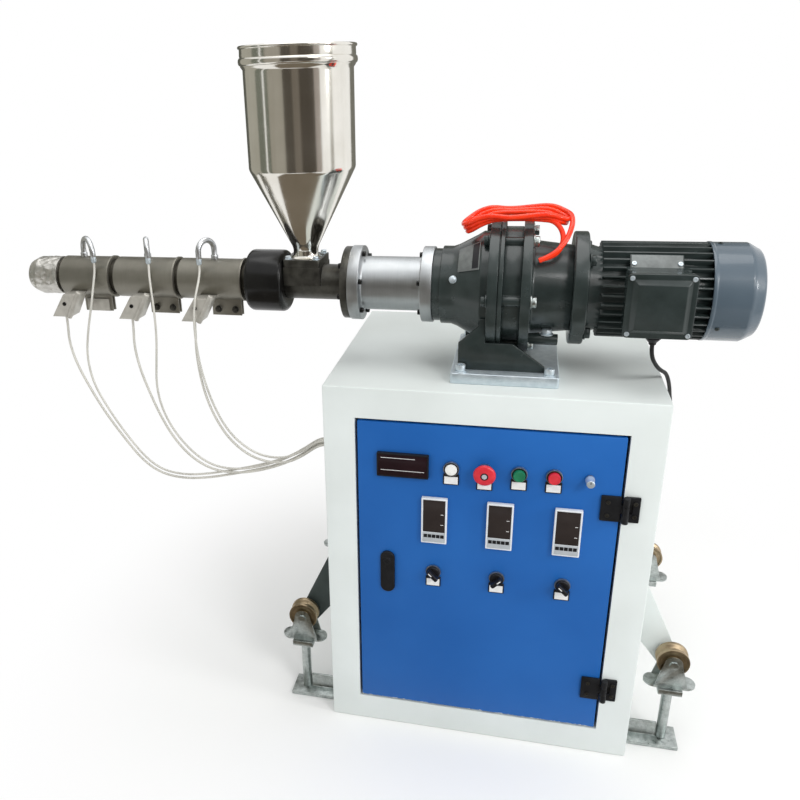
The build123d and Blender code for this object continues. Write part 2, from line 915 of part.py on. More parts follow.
with BuildPart() as throat:
    turn(
        (nut_right, 0),
        (nut_right, throat_radius),
        (throat_right - throat_flange, throat_radius),
        (throat_right - throat_flange, throat_flange_radius),
        (throat_right, throat_flange_radius),
        (throat_right, 0),
    )
    with Locations((hopper_x, axis_y, axis_z)):
        Box(
            throat_pad_length,
            throat_pad_depth,
            throat_pad_rise,
            align=(Align.CENTER, Align.CENTER, Align.MIN),
        )
    with Locations((hopper_x, axis_y, pad_top_z)):
        Hole(feed_hole_radius, depth=throat_pad_rise)
write(throat, "feed_throat")

# Hopper: spun shell open at the top, on its square flange
with BuildPart() as hopper_plate:
    with BuildSketch(Plane.XY.offset(pad_top_z)):
        with Locations((hopper_x, axis_y)):
            RectangleRounded(throat_pad_length, throat_pad_depth, hopper_flange_corner)
            Circle(feed_hole_radius, mode=Mode.SUBTRACT)
    extrude(amount=hopper_flange)
write(hopper_plate, "hopper_flange")

neck_inner = hopper_neck_radius - hopper_sheet
body_inner = hopper_radius - hopper_sheet
collar_radius = hopper_radius + collar_step
collar_inner = collar_radius - hopper_sheet
collar_low = hopper_top - collar_height
bead_low = collar_low + collar_step + bead_above_step
bead_high = bead_low + bead_height
rim_low = hopper_top - rim_height
with BuildPart() as hopper:
    with BuildSketch(front_plane(hopper_x, axis_y, 0)):
        with BuildLine():
            Polyline(
                (collar_radius, hopper_top),
                (collar_inner, hopper_top),
                (collar_inner, collar_low + collar_step),
                (body_inner, collar_low),
                (body_inner, hopper_cone_top),
                (neck_inner, hopper_neck_top),
                (neck_inner, hopper_bottom),
                (hopper_neck_radius, hopper_bottom),
                (hopper_neck_radius, hopper_neck_top),
                (hopper_radius, hopper_cone_top),
                (hopper_radius, collar_low),
                (collar_radius, collar_low + collar_step),
                (collar_radius, bead_low),
            )
            ThreePointArc(
                (collar_radius, bead_low),
                (collar_radius + bead_rise, (bead_low + bead_high) / 2),
                (collar_radius, bead_high),
            )
            Line((collar_radius, bead_high), (collar_radius, rim_low))
            ThreePointArc(
                (collar_radius, rim_low),
                (collar_radius + rim_rise, (rim_low + hopper_top) / 2),
                (collar_radius, hopper_top),
            )
        make_face()
    revolve(axis=Axis((hopper_x, axis_y, 0), (0, 0, 1)))
write(hopper, "hopper")

# Ring nut, barrel and nozzle head
with BuildPart() as nut:
    turn(
        (nut_left, barrel_radius + band_clearance),
        (nut_left, nut_radius - nut_edge),
        (nut_left + nut_edge, nut_radius),
        (nut_right - nut_edge, nut_radius),
        (nut_right, nut_radius - nut_edge),
        (nut_right, barrel_radius + band_clearance),
    )
write(nut, "ring_nut")

with BuildPart() as barrel:
    turn((barrel_left, 0), (barrel_left, barrel_radius), (nut_right, barrel_radius), (nut_right, 0))
write(barrel, "barrel")

with BuildPart() as head:
    turn(
        (head_tip, outlet_radius),
        (head_tip, head_tip_radius),
        (head_tip + head_taper, head_radius),
        (barrel_left, head_radius),
        (barrel_left, 0),
        (head_tip + outlet_length, 0),
        (head_tip + outlet_length, outlet_radius),
    )
write(head, "nozzle_head")

# Heater bands with raised rims and clamp ears underneath
with BuildPart() as heater_bands:
    for (left, right), ear_x in zip(bands, ear_xs):
        turn(
            (left, barrel_radius + band_clearance),
            (left, band_radius),
            (right - band_rim_length, band_radius),
            (right - band_rim_length, band_radius + band_rim),
            (right, band_radius + band_rim),
            (right, barrel_radius + band_clearance),
        )
        for ear_side in (-1, 1):
            ear_y = axis_y + ear_side * (ear_gap + ear_thickness) / 2
            with Locations((ear_x, ear_y, axis_z - ear_drop)):
                Box(
                    ear_length,
                    ear_thickness,
                    ear_drop - barrel_radius - ear_sink,
                    align=(Align.CENTER, Align.CENTER, Align.MIN),
                )
    for x in probe_xs:
        with Locations((x, axis_y, axis_z)):
            Cylinder(
                probe_stub_radius + band_clearance,
                2 * band_radius,
                align=(Align.CENTER, Align.CENTER, Align.MIN),
                mode=Mode.SUBTRACT,
            )
write(heater_bands, "heater_bands")

# Terminal caps: stamped covers leaning against the bands
with BuildPart() as caps:
    for cap_x in cap_xs:
        with BuildSketch(front_plane(cap_x, axis_y - cap_front + cap_depth, axis_z)):
            with BuildLine():
                Polyline(
                    (-cap_bottom_width / 2, -cap_bottom_drop),
                    (cap_bottom_width / 2, -cap_bottom_drop),
                    (cap_lean + cap_top_width / 2, -cap_top_drop),
                    (cap_lean - cap_top_width / 2, -cap_top_drop),
                    close=True,
                )
            make_face()
        extrude(amount=cap_depth)
    with BuildSketch(section_plane(head_tip)):
        Circle(band_radius + band_clearance)
    extrude(amount=nut_right - head_tip, mode=Mode.SUBTRACT)
write(caps, "heater_terminal_caps")

# Thermocouple probes: a stub on the band and a tube bent over towards the front
with BuildPart() as probes:
    for x, reach in zip(probe_xs, probe_reaches):
        bend = Vector(*reach, 0)
        foot = Vector(x, axis_y, axis_z + band_radius)
        rise = foot + Vector(0, 0, probe_crown_rise - bend.length / 2)
        crown = foot + bend / 2 + Vector(0, 0, probe_crown_rise)
        with BuildLine() as bent:
            Line(foot, rise)
            ThreePointArc(rise, crown, rise + bend)
            Line(rise + bend, foot + bend + Vector(0, 0, probe_end_rise))
        with BuildSketch(Plane(origin=foot, z_dir=(0, 0, 1))):
            Circle(probe_radius)
        sweep(path=bent.wire())
        with Locations((x, axis_y, axis_z + barrel_radius)):
            Cylinder(
                probe_stub_radius,
                band_radius - barrel_radius + probe_stub_height,
                align=(Align.CENTER, Align.CENTER, Align.MIN),
            )
write(probes, "thermocouples")

# Grommets in the cabinet's sides
with BuildPart() as grommets:
    with BuildSketch(Plane.YZ.offset(-half_width)):
        with Locations((wire_grommet_y, cabinet_height - wire_grommet_drop)):
            Circle(wire_grommet_radius)
    extrude(amount=-grommet_thickness)
    with BuildSketch(Plane.YZ.offset(half_width)):
        with Locations((motor_grommet_y, cabinet_height - motor_grommet_drop)):
            Circle(motor_grommet_radius)
    extrude(amount=grommet_thickness)
write(grommets, "cable_grommets")


# Cords: straight runs joined by arcs as large as the runs allow
def corner_radii(points):
    radii = []
    for before, corner, after in zip(points, points[1:], points[2:]):
        run_in = Vector(corner) - Vector(before)
        run_out = Vector(after) - Vector(corner)
        half_turn = radians(run_in.get_angle(run_out)) / 2
        radii.append(0.45 * min(run_in.length, run_out.length) / tan(half_turn))
    return radii


cords = {
    "heater_lead_1": (lead_diameter, (
        (-874, -133, 845), (-874, -133, 823), (-877, -134, 786), (-866, -136, 738), (-842, -138, 684),
        (-815, -138, 630), (-780, -138, 575), (-742, -138, 522), (-700, -138, 492), (-645, -138, 484),
        (-585, -138, 492), (-522, -138, 508), (-462, -138, 525), (-408, -138, 545), (-372, -138, 568),
        (-349, -138, 586), (-335, -138, 594.5), (-321, -138, 598), (-306, -138, 598),
    )),
    "heater_lead_2": (lead_diameter, (
        (-724, -133, 845), (-724, -133, 823), (-726, -137, 786), (-717, -142, 737), (-700, -145, 686),
        (-682, -145, 634), (-655, -145, 580), (-618, -145, 538), (-572, -145, 514), (-516, -145, 512),
        (-460, -145, 525), (-408, -145, 546), (-372, -145, 568), (-349, -145, 586), (-335, -145, 594.5),
        (-321, -145, 598), (-306, -145, 598),
    )),
    "heater_lead_3": (lead_diameter, (
        (-588, -133, 845), (-588, -133, 823), (-589, -138, 786), (-583, -146, 738), (-572, -152, 690),
        (-556, -152, 642), (-530, -152, 596), (-492, -152, 562), (-448, -152, 547), (-402, -152, 551),
        (-372, -152, 568), (-349, -152, 586), (-335, -152, 594.5), (-321, -152, 598), (-306, -152, 598),
    )),
    "thermocouple_cable_1": (thermo_diameter, (
        (-799, -123, 964.5), (-799, -123, 950), (-799, -126, 934), (-801, -134, 910), (-809, -141, 866),
        (-825, -141, 812), (-838, -138, 757), (-833, -138, 697), (-806, -138, 638), (-772, -138, 581),
        (-735, -138, 530), (-697, -138, 501), (-645, -138, 493), (-586, -138, 501), (-524, -138, 517),
        (-465, -138, 534), (-411, -138, 554), (-374, -138, 577), (-350, -138, 595), (-336, -138, 603.5),
        (-321, -138, 607), (-306, -138, 607),
    )),
    "thermocouple_cable_2": (thermo_diameter, (
        (-679, -123, 964.5), (-679, -123, 950), (-679, -126, 934), (-675, -134, 910), (-669, -143, 866),
        (-669, -145, 811), (-676, -145, 755), (-683, -145, 700), (-675, -145, 645), (-650, -145, 592),
        (-611, -145, 547), (-568, -145, 523), (-514, -145, 521), (-462, -145, 534), (-411, -145, 555),
        (-374, -145, 577), (-350, -145, 595), (-336, -145, 603.5), (-321, -145, 607), (-306, -145, 607),
    )),
    "thermocouple_cable_3": (thermo_diameter, (
        (-571, -123, 964.5), (-571, -123, 950), (-571, -127, 934), (-572, -140, 914), (-574, -154, 892),
        (-577, -160, 858), (-579, -159, 819), (-578, -155, 770), (-571, -152, 720), (-557, -152, 670),
        (-535, -152, 621), (-504, -152, 585), (-462, -152, 561), (-412, -152, 559), (-374, -152, 577),
        (-350, -152, 595), (-336, -152, 603.5), (-321, -152, 607), (-306, -152, 607),
    )),
    "motor_cable": (motor_cable_diameter, (
        (262, -200, 857), (262, -200, 842), (267, -190, 824), (277, -171, 806), (289, -150, 790),
        (303, -126, 777), (313, -103, 755), (321, -79, 732), (328, -54, 707), (336, -30, 680.5),
        (336.4, -12.5, 662.5), (330, -4.6, 654.6), (318.9, 0, 650), (306, 0, 650),
    )),
}
for name, (diameter, points) in cords.items():
    radii = corner_radii(points)
    with BuildPart() as cord:
        with BuildLine():
            route = FilletPolyline(*points, radius=radii)
        with BuildSketch(Plane(origin=route @ 0, z_dir=route % 0)):
            Circle(diameter / 2)
        sweep(path=route)
    tube_volume = pi * diameter**2 / 4 * route.length
    print(name, "length", round(route.length), "volume ratio", round(cord.part.volume / tube_volume, 4))
    print("radii", *(round(radius) for radius in radii))
    write(cord, name)

# Hank of hose: the outer shape of its turns, over the flanges and down on the input housing
lie_radius = input_radius_left + hank_seat_gap
lie_left = flange_b_right + hank_seat_gap
end_drop = flange_radius - lie_radius
bell_lie = register_radius + hank_seat_gap
with BuildPart() as hank:
    with BuildSketch(front_plane(0, axis_y + hank_back, flange_top_z + hank_seat_gap)):
        with BuildLine():
            Polyline(
                (hank_left, bell_lie - flange_radius),
                (flange_a_left - hank_seat_gap, bell_lie - flange_radius),
                (flange_a_left - hank_seat_gap, 0),
                (lie_left, 0),
                (lie_left, -end_drop),
                (hank_right, -end_drop),
                (hank_right, hank_end_height - end_drop),
            )
            ThreePointArc(
                (hank_right, hank_end_height - end_drop),
                ((hank_left + hank_right) / 2, hank_height),
                (hank_left, hank_end_height + bell_lie - flange_radius),
            )
            Line(
                (hank_left, hank_end_height + bell_lie - flange_radius),
                (hank_left, bell_lie - flange_radius),
            )
        make_face()
    extrude(amount=hank_front + hank_back)
    with BuildSketch(front_plane(0, axis_y, axis_z)) as lie_profile:
        with BuildLine():
            Polyline(
                (lie_left, lie_radius),
                (lie_left, lie_radius + 2 * hose_diameter),
                (hank_right, lie_radius + 2 * hose_diameter),
                (hank_right, lie_radius),
                close=True,
            )
        make_face()
    revolve(lie_profile.sketch, axis=drive_axis, revolution_arc=hank_lie_angle)
write(hank, "hose_coil")
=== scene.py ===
import bpy
import bmesh
from math import cos, pi, radians, sin, sqrt
from mathutils import Matrix, Vector


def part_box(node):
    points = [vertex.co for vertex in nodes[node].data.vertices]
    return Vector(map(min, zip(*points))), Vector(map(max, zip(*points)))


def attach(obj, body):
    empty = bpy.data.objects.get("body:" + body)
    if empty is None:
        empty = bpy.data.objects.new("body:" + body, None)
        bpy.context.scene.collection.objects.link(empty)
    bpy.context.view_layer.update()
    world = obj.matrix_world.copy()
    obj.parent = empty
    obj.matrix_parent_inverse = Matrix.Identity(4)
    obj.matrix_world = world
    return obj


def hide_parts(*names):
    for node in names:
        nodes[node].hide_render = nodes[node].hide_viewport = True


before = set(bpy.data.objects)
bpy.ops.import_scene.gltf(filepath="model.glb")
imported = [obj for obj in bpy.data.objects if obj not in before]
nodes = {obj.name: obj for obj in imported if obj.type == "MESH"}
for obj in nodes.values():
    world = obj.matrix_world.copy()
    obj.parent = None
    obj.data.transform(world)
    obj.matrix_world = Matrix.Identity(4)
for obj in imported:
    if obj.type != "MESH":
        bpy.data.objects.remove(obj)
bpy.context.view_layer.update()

mm = 0.001


def boxOf(name):  # a node's corners in millimetres
    low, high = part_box(name)
    return low / mm, high / mm


lanternLow, lanternHigh = boxOf("coupling_lantern")
axisY = (lanternLow.y + lanternHigh.y) / 2
axisZ = (lanternLow.z + lanternHigh.z) / 2
doorLow = boxOf("door_panel")[0]
doorFace = doorLow.y
forward, upward = (0, -1, 0), (0, 0, 1)
print("frame loaded")

# Camera fitted to the photograph
view = {"place": (42.88, -1549.14, 1283.71), "turn": 14.248, "tilt": 68.041, "roll": -1.985,
        "sensor": 36, "lens": 35.569, "shiftX": 0.08905, "shiftY": -0.00393}
bpy.ops.object.camera_add()
camera = bpy.context.object
camera.data.sensor_width = view["sensor"]
camera.data.lens = view["lens"]
camera.data.shift_x = view["shiftX"]
camera.data.shift_y = view["shiftY"]
camera.data.clip_end = 50
camera.matrix_world = (
    Matrix.Translation(Vector(view["place"]) * mm)
    @ Matrix.Rotation(radians(view["turn"]), 4, "Z")
    @ Matrix.Rotation(radians(view["tilt"]), 4, "X")
    @ Matrix.Rotation(radians(view["roll"]), 4, "Z")
)
bpy.context.scene.camera = camera
print("camera set")


# Finishes
def hexColour(code):
    parts = [int(code[i:i + 2], 16) / 255 for i in (1, 3, 5)]
    return tuple(p / 12.92 if p <= 0.04045 else ((p + 0.055) / 1.055) ** 2.4 for p in parts) + (1,)


def addNode(tree, kind, sockets=None, **settings):
    made = tree.nodes.new("ShaderNode" + kind)
    for name, value in settings.items():
        setattr(made, name, value)
    for socket, value in (sockets or {}).items():
        if isinstance(value, bpy.types.NodeSocket):
            tree.links.new(value, made.inputs[socket])
        else:
            made.inputs[socket].default_value = value
    return made


plainLook = {"lines": 0.3, "metal": 0, "shine": 0.5, "coat": 0, "coatRough": 0.1}  # where a look says nothing
pattern = {"cloudLow": 0.3, "cloudHigh": 0.7, "grainDepth": 0.4}


def makeFinish(name, look):
    look = {**plainLook, **look}
    finish = bpy.data.materials.new(name)
    finish.use_nodes = True
    tree = finish.node_tree
    shader = tree.nodes["Principled BSDF"]
    place = addNode(tree, "TexCoord").outputs["Object"]
    cloud = addNode(tree, "TexNoise", {"Vector": place, "Scale": 1000 / look["cloud"], "Detail": 4})
    grainScale = addNode(tree, "Mapping", {"Vector": place, "Scale": [1000 / size for size in look["grain"]]})
    grain = addNode(tree, "TexNoise", {"Vector": grainScale.outputs[0], "Scale": 1, "Detail": 3})
    patch = addNode(tree, "MapRange", {"Value": cloud.outputs[0], "From Min": pattern["cloudLow"],
                                       "From Max": pattern["cloudHigh"]})
    lines = addNode(tree, "Mix", {0: look["lines"], 2: patch.outputs[0], 3: grain.outputs[0]})
    tones = {0: lines.outputs[0], 6: hexColour(look["dark"]), 7: hexColour(look["light"])}
    tint = addNode(tree, "Mix", tones, data_type="RGBA")
    rough = addNode(tree, "MapRange", {"Value": lines.outputs[0], "To Min": look["rough"][0],
                                       "To Max": look["rough"][1]})
    bump = addNode(tree, "Bump", {"Height": grain.outputs[0], "Strength": look["bump"],
                                 "Distance": pattern["grainDepth"] * mm})
    tree.links.new(tint.outputs[2], shader.inputs["Base Color"])
    tree.links.new(rough.outputs[0], shader.inputs["Roughness"])
    tree.links.new(bump.outputs[0], shader.inputs["Normal"])
    shader.inputs["Metallic"].default_value = look["metal"]
    shader.inputs["Specular IOR Level"].default_value = look["shine"]
    shader.inputs["Coat Weight"].default_value = look["coat"]
    shader.inputs["Coat Roughness"].default_value = look["coatRough"]
    return finish


looks = {
    # powder coated sheet steel: cool off-white, fine orange peel
    "powderWhite": {"slot": "white_paint", "dark": "#d8dedb", "light": "#e3e9e7", "cloud": 180,
                    "grain": (1.6, 1.6, 1.6), "bump": 0.08, "rough": (0.42, 0.55), "lines": 0.1,
                    "shine": 0.3},
    # powder coated steel door: strong blue with a soft sheen, chipped at the foot down to the pale primer
    "powderBlueChipped": {"slot": "blue_paint", "dark": "#155aa6", "light": "#1d64b2", "cloud": 220,
                          "grain": (1.8, 1.8, 1.8), "bump": 0.1, "rough": (0.38, 0.5), "lines": 0.1,
                          "shine": 0.25, "chipSize": 9, "chipBand": 7, "chipEdge": (0.44, 0.52),
                          "primer": "#d8dcdc"},
    # sprayed enamel on castings: dark slate, pitted by the sand mould
    "enamelSlate": {"slot": "slate_paint", "dark": "#232b2a", "light": "#323b3a", "cloud": 40,
                    "grain": (2.2, 2.2, 2.2), "bump": 0.14, "rough": (0.18, 0.3), "lines": 0.25},
    # sprayed enamel on pressed sheet: bluish slate, glossier than the castings
    "enamelCover": {"slot": "cover_paint", "dark": "#46545f", "light": "#52606b", "cloud": 120,
                    "grain": (1.5, 1.5, 1.5), "bump": 0.01, "rough": (0.24, 0.3), "lines": 0.15,
                    "shine": 0.4, "coat": 0.5},
    # brushed on enamel over flat bar: dark green grey
    "enamelBrace": {"slot": "brace_paint", "dark": "#3a4342", "light": "#4c5554", "cloud": 50,
                    "grain": (3, 3, 30), "bump": 0.2, "rough": (0.4, 0.55), "lines": 0.3, "shine": 0.3},
    # black powder coat on zinc die castings
    "castBlack": {"slot": "black_cast", "dark": "#141517", "light": "#222326", "cloud": 25,
                  "grain": (0.9, 0.9, 0.9), "bump": 0.2, "rough": (0.35, 0.5), "lines": 0.3, "shine": 0.25},
    # bright zinc on rolled steel: bluish, cloudy spangle
    "zincBright": {"slot": "zinc_steel", "dark": "#c3d0d8", "light": "#e2ebf0", "cloud": 14,
                   "grain": (2.5, 2.5, 2.5), "bump": 0.1, "rough": (0.34, 0.5), "metal": 0.7, "lines": 0.35},
    # weathered zinc on bar and plate: neutral grey, dulled
    "zincDull": {"slot": "zinc_steel", "dark": "#8b9391", "light": "#d3d9d7", "cloud": 10,
                 "grain": (2.5, 2.5, 2.5), "bump": 0.14, "rough": (0.24, 0.42), "metal": 1, "lines": 0.35},
    # yellow passivated zinc on turned steel: bronze with dull rub marks
    "zincYellow": {"slot": "yellow_zinc", "dark": "#94836a", "light": "#c4b193", "cloud": 12,
                   "grain": (3, 0.8, 3), "bump": 0.12, "rough": (0.3, 0.46), "metal": 1, "lines": 0.4},
    # fine turned aluminium: rings from the tool
    "turnedAluminium": {"slot": "turned_aluminium", "dark": "#9da1a3", "light": "#c6c9cb", "cloud": 50,
                        "grain": (0.7, 60, 60), "bump": 0.1, "rough": (0.36, 0.5), "metal": 1, "lines": 0.6},
    # machined steel, oiled and heat darkened
    "oiledSteel": {"slot": "throat_steel", "dark": "#33322f", "light": "#5e5d57", "cloud": 18,
                   "grain": (1, 30, 30), "bump": 0.12, "rough": (0.3, 0.5), "metal": 0.8, "lines": 0.3},
    # blackened and oiled turned steel
    "blackOxide": {"slot": "black_oxide", "dark": "#0d0d0d", "light": "#171716", "cloud": 30,
                   "grain": (0.8, 40, 40), "bump": 0.06, "rough": (0.18, 0.28), "lines": 0.4, "shine": 0.3},
    # nitrided barrel steel: dull warm grey
    "nitridedSteel": {"slot": "nitrided_steel", "dark": "#3a3833", "light": "#57544c", "cloud": 20,
                      "grain": (1, 40, 40), "bump": 0.1, "rough": (0.4, 0.55), "metal": 0.9, "lines": 0.4},
    # rolled heater sheet: warm grey, drawn round the barrel
    "heaterSheet": {"slot": "heater_sheet", "dark": "#7a776d", "light": "#969389", "cloud": 45,
                    "grain": (3, 50, 50), "bump": 0.06, "rough": (0.38, 0.52), "metal": 0.8, "lines": 0.35},
    # stamped cap sheet: paler and duller
    "capSheet": {"slot": "cap_sheet", "dark": "#aeaba3", "light": "#d0cdc5", "cloud": 16,
                 "grain": (1.5, 1.5, 12), "bump": 0.12, "rough": (0.4, 0.55), "metal": 0.5, "lines": 0.35},
    # moulded black rubber
    "mouldedRubber": {"slot": "black_rubber", "dark": "#151515", "light": "#232323", "cloud": 12,
                      "grain": (0.8, 0.8, 0.8), "bump": 0.1, "rough": (0.55, 0.7), "shine": 0.3},
    # injection moulded black plastic with a fine spark texture
    "mouldedBlack": {"slot": "black_plastic", "dark": "#131316", "light": "#1e1e22", "cloud": 14,
                     "grain": (0.7, 0.7, 0.7), "bump": 0.1, "rough": (0.32, 0.45), "shine": 0.3},
    # light grey instrument plastic
    "mouldedGrey": {"slot": "controller_plastic", "dark": "#a6abb0", "light": "#babfc3", "cloud": 20,
                    "grain": (0.7, 0.7, 0.7), "bump": 0.06, "rough": (0.35, 0.48), "shine": 0.3},
    # pale grey frame plastic of the controllers
    "mouldedPale": {"slot": "controller_plastic", "dark": "#d6dade", "light": "#e6e9ec", "cloud": 20,
                    "grain": (0.7, 0.7, 0.7), "bump": 0.06, "rough": (0.35, 0.48), "shine": 0.3},
    # smoked acrylic window over dark displays
    "smokedWindow": {"slot": "meter_plastic", "dark": "#2b2524", "light": "#342d2b", "cloud": 40,
                     "grain": (4, 4, 4), "bump": 0.02, "rough": (0.16, 0.26), "coat": 0.05, "shine": 0.25},
    # tinted acrylic meter face: maroon black
    "maroonWindow": {"slot": "meter_plastic", "dark": "#1d1014", "light": "#27151a", "cloud": 40,
                     "grain": (4, 4, 4), "bump": 0.02, "rough": (0.18, 0.28), "coat": 0.05, "shine": 0.2},
    # white print and paper inserts
    "whiteInsert": {"slot": "lamp_plastic", "dark": "#dcdcdc", "light": "#f0f0ee", "cloud": 8,
                    "grain": (0.8, 0.8, 0.8), "bump": 0.05, "rough": (0.5, 0.6)},
    # frosted acrylic lens
    "frostedLens": {"slot": "lamp_plastic", "dark": "#e2e2de", "light": "#f4f4f0", "cloud": 9,
                    "grain": (2, 2, 2), "bump": 0.1, "rough": (0.2, 0.3), "coat": 0.3},
    # satin chrome on brass bezels
    "satinChrome": {"slot": "chrome_ring", "dark": "#c2c5c8", "light": "#e6e8ea", "cloud": 10,
                    "grain": (1, 8, 1), "bump": 0.06, "rough": (0.32, 0.45), "metal": 1},
    # dark nickel plated rings round the push-buttons
    "ringNickel": {"slot": "chrome_ring", "dark": "#8e9296", "light": "#c0c4c8", "cloud": 10,
                   "grain": (1, 8, 1), "bump": 0.06, "rough": (0.3, 0.45), "metal": 1},
    # red urea plastic of the stop heads
    "mouldedRed": {"slot": "red_plastic", "dark": "#c81d2c", "light": "#de2f3c", "cloud": 12,
                   "grain": (1, 1, 1), "bump": 0.05, "rough": (0.3, 0.4)},
    # green urea plastic of the start head
    "mouldedGreen": {"slot": "green_plastic", "dark": "#0d6a48", "light": "#168257", "cloud": 12,
                     "grain": (1, 1, 1), "bump": 0.05, "rough": (0.3, 0.4)},
    # polyurethane tube: bright orange red, slightly clear
    "tubeRed": {"slot": "red_hose", "dark": "#f02408", "light": "#ff4518", "cloud": 30,
                "grain": (3, 3, 3), "bump": 0.03, "rough": (0.18, 0.28), "coat": 0.1, "shine": 0.4},
    # bare etched plates
    "etchedPlate": {"slot": "turned_aluminium", "dark": "#606463", "light": "#7e8281", "cloud": 10,
                    "grain": (0.8, 0.8, 14), "bump": 0.08, "rough": (0.4, 0.55), "metal": 0.6},
    # spun and polished stainless steel: upright reflections that wander a little with the hand polishing
    "polishedStainless": {"slot": "polished_stainless", "dark": "#dcd8ce", "light": "#f6f4ee", "cloud": 70,
                          "grain": (14, 14, 260), "bump": 0.05, "rough": (0.1, 0.18), "metal": 1,
                          "lines": 0.55},
    # cast nozzle head wrapped in crushed heat foil: sharp crinkles, stained grey
    "crinkledFoil": {"slot": "head_casting", "dark": "#a8a6a0", "light": "#e6e4de", "cloud": 14,
                     "grain": (12, 12, 12), "bump": 0.6, "rough": (0.25, 0.5), "metal": 0.9, "lines": 0.6,
                     "fold": 16, "foldDepth": 4},
    # glass fibre sleeve braided over wire: pale silver, with crossing strands drawn at 2 mm so that they show
    "braidedSleeve": {"slot": "braid", "dark": "#c2c0b8", "light": "#e8e6de", "cloud": 40,
                      "grain": (2, 2, 2), "bump": 0.3, "rough": (0.4, 0.6), "metal": 0.25, "lines": 0.5,
                      "strand": 2, "bandsPerUnit": 20},
}
finishes = {name: makeFinish(name, look) for name, look in looks.items()}


def nodeOf(tree, kind):
    return next(node for node in tree.nodes if node.bl_idname == "ShaderNode" + kind)


def crinkleFoil(tree, look):  # sharp folds take the place of the grain
    place, bump = nodeOf(tree, "TexCoord").outputs["Object"], nodeOf(tree, "Bump")
    folds = addNode(tree, "TexVoronoi", {"Vector": place, "Scale": 1000 / look["fold"]},
                    feature="DISTANCE_TO_EDGE")
    tree.links.new(folds.outputs["Distance"], bump.inputs["Height"])
    bump.inputs["Distance"].default_value = look["foldDepth"] * mm


def braidSleeve(tree, look):  # crossing strands take the place of the grain
    place, bump = nodeOf(tree, "TexCoord").outputs["Object"], nodeOf(tree, "Bump")
    scale = 1000 / look["strand"] / look["bandsPerUnit"]
    strands = addNode(tree, "TexWave", {"Vector": place, "Scale": scale, "Distortion": 1},
                      bands_direction="DIAGONAL")
    tree.links.new(strands.outputs["Fac"], bump.inputs["Height"])


def chipFoot(tree, look):  # chips along the foot of the door
    shader = tree.nodes["Principled BSDF"]
    paint = shader.inputs["Base Color"].links[0].from_socket
    place = nodeOf(tree, "TexCoord").outputs["Object"]
    height = addNode(tree, "SeparateXYZ", {"Vector": place}).outputs["Z"]
    bandTop = (doorLow.z + look["chipBand"]) * mm
    band = addNode(tree, "MapRange", {"Value": height, "From Min": doorLow.z * mm, "From Max": bandTop,
                                      "To Min": 1, "To Max": 0})
    spots = addNode(tree, "TexNoise", {"Vector": place, "Scale": 1000 / look["chipSize"], "Detail": 3})
    worn = addNode(tree, "Math", {0: spots.outputs[0], 1: band.outputs[0]}, operation="MULTIPLY")
    chips = addNode(tree, "MapRange", {"Value": worn.outputs[0], "From Min": look["chipEdge"][0],
                                       "From Max": look["chipEdge"][1]})
    tones = {0: chips.outputs[0], 6: paint, 7: hexColour(look["primer"])}
    mixed = addNode(tree, "Mix", tones, data_type="RGBA")
    tree.links.new(mixed.outputs[2], shader.inputs["Base Color"])


changes = {"crinkledFoil": crinkleFoil, "braidedSleeve": braidSleeve, "powderBlueChipped": chipFoot}
for name, change in changes.items():
    change(finishes[name].node_tree, looks[name])
print("finishes made:", len(finishes))


# Hand tools
def leaveEdit():
    bpy.ops.object.mode_set(mode="OBJECT")


def clearSelection():
    if bpy.context.mode != "OBJECT":
        leaveEdit()
    bpy.ops.object.select_all(action="DESELECT")


def makeActive(piece):
    clearSelection()
    piece.select_set(True)
    bpy.context.view_layer.objects.active = piece


def editAll(piece):
    makeActive(piece)
    bpy.ops.object.mode_set(mode="EDIT")
    bpy.ops.mesh.select_all(action="SELECT")


def editFaces(piece, wanted):  # edit mode with the faces that pass a test
    makeActive(piece)
    bpy.ops.object.mode_set(mode="EDIT")
    mesh = bmesh.from_edit_mesh(piece.data)
    for part in (*mesh.verts, *mesh.edges, *mesh.faces):
        part.select = False
    for face in mesh.faces:
        if wanted(face):
            face.select_set(True)
    bmesh.update_edit_mesh(piece.data)


def applyModifier(piece, kind, **settings):
    makeActive(piece)
    modifier = piece.modifiers.new("shape", kind)
    for name, value in settings.items():
        setattr(modifier, name, value)
    bpy.ops.object.modifier_apply(modifier=modifier.name)


def roundEdges(piece, width, segments=2, angle=30):
    applyModifier(piece, "BEVEL", width=width * mm, segments=segments, limit_method="ANGLE",
                  angle_limit=radians(angle))
    return piece


def settle(piece, body, finish, replaced=(), smooth=35):
    editAll(piece)
    bpy.ops.mesh.remove_doubles(threshold=1e-6)
    leaveEdit()
    bpy.ops.object.transform_apply(location=True, rotation=True, scale=True)
    bpy.ops.object.shade_smooth_by_angle(angle=radians(smooth))
    piece.data.materials.clear()
    piece.data.materials.append(finishes[finish])
    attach(piece, body)
    if replaced:
        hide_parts(*replaced)
    return piece


def block(name, low, high):
    low, high = Vector(low), Vector(high)
    clearSelection()
    bpy.ops.mesh.primitive_cube_add(size=1, location=(low + high) / 2 * mm)
    piece = bpy.context.object
    piece.name = name
    bpy.ops.object.mode_set(mode="EDIT")
    bpy.ops.transform.resize(value=(high - low) * mm)
    leaveEdit()
    bpy.ops.object.transform_apply(location=True, rotation=True, scale=True)
    return piece


turnAxes = {"drive": ((1, 0, 0), (0, 0, 1)), "door": ((0, -1, 0), (1, 0, 0)),
            "wheel": ((0, 1, 0), (1, 0, 0)), "upright": ((0, 0, 1), (1, 0, 0))}


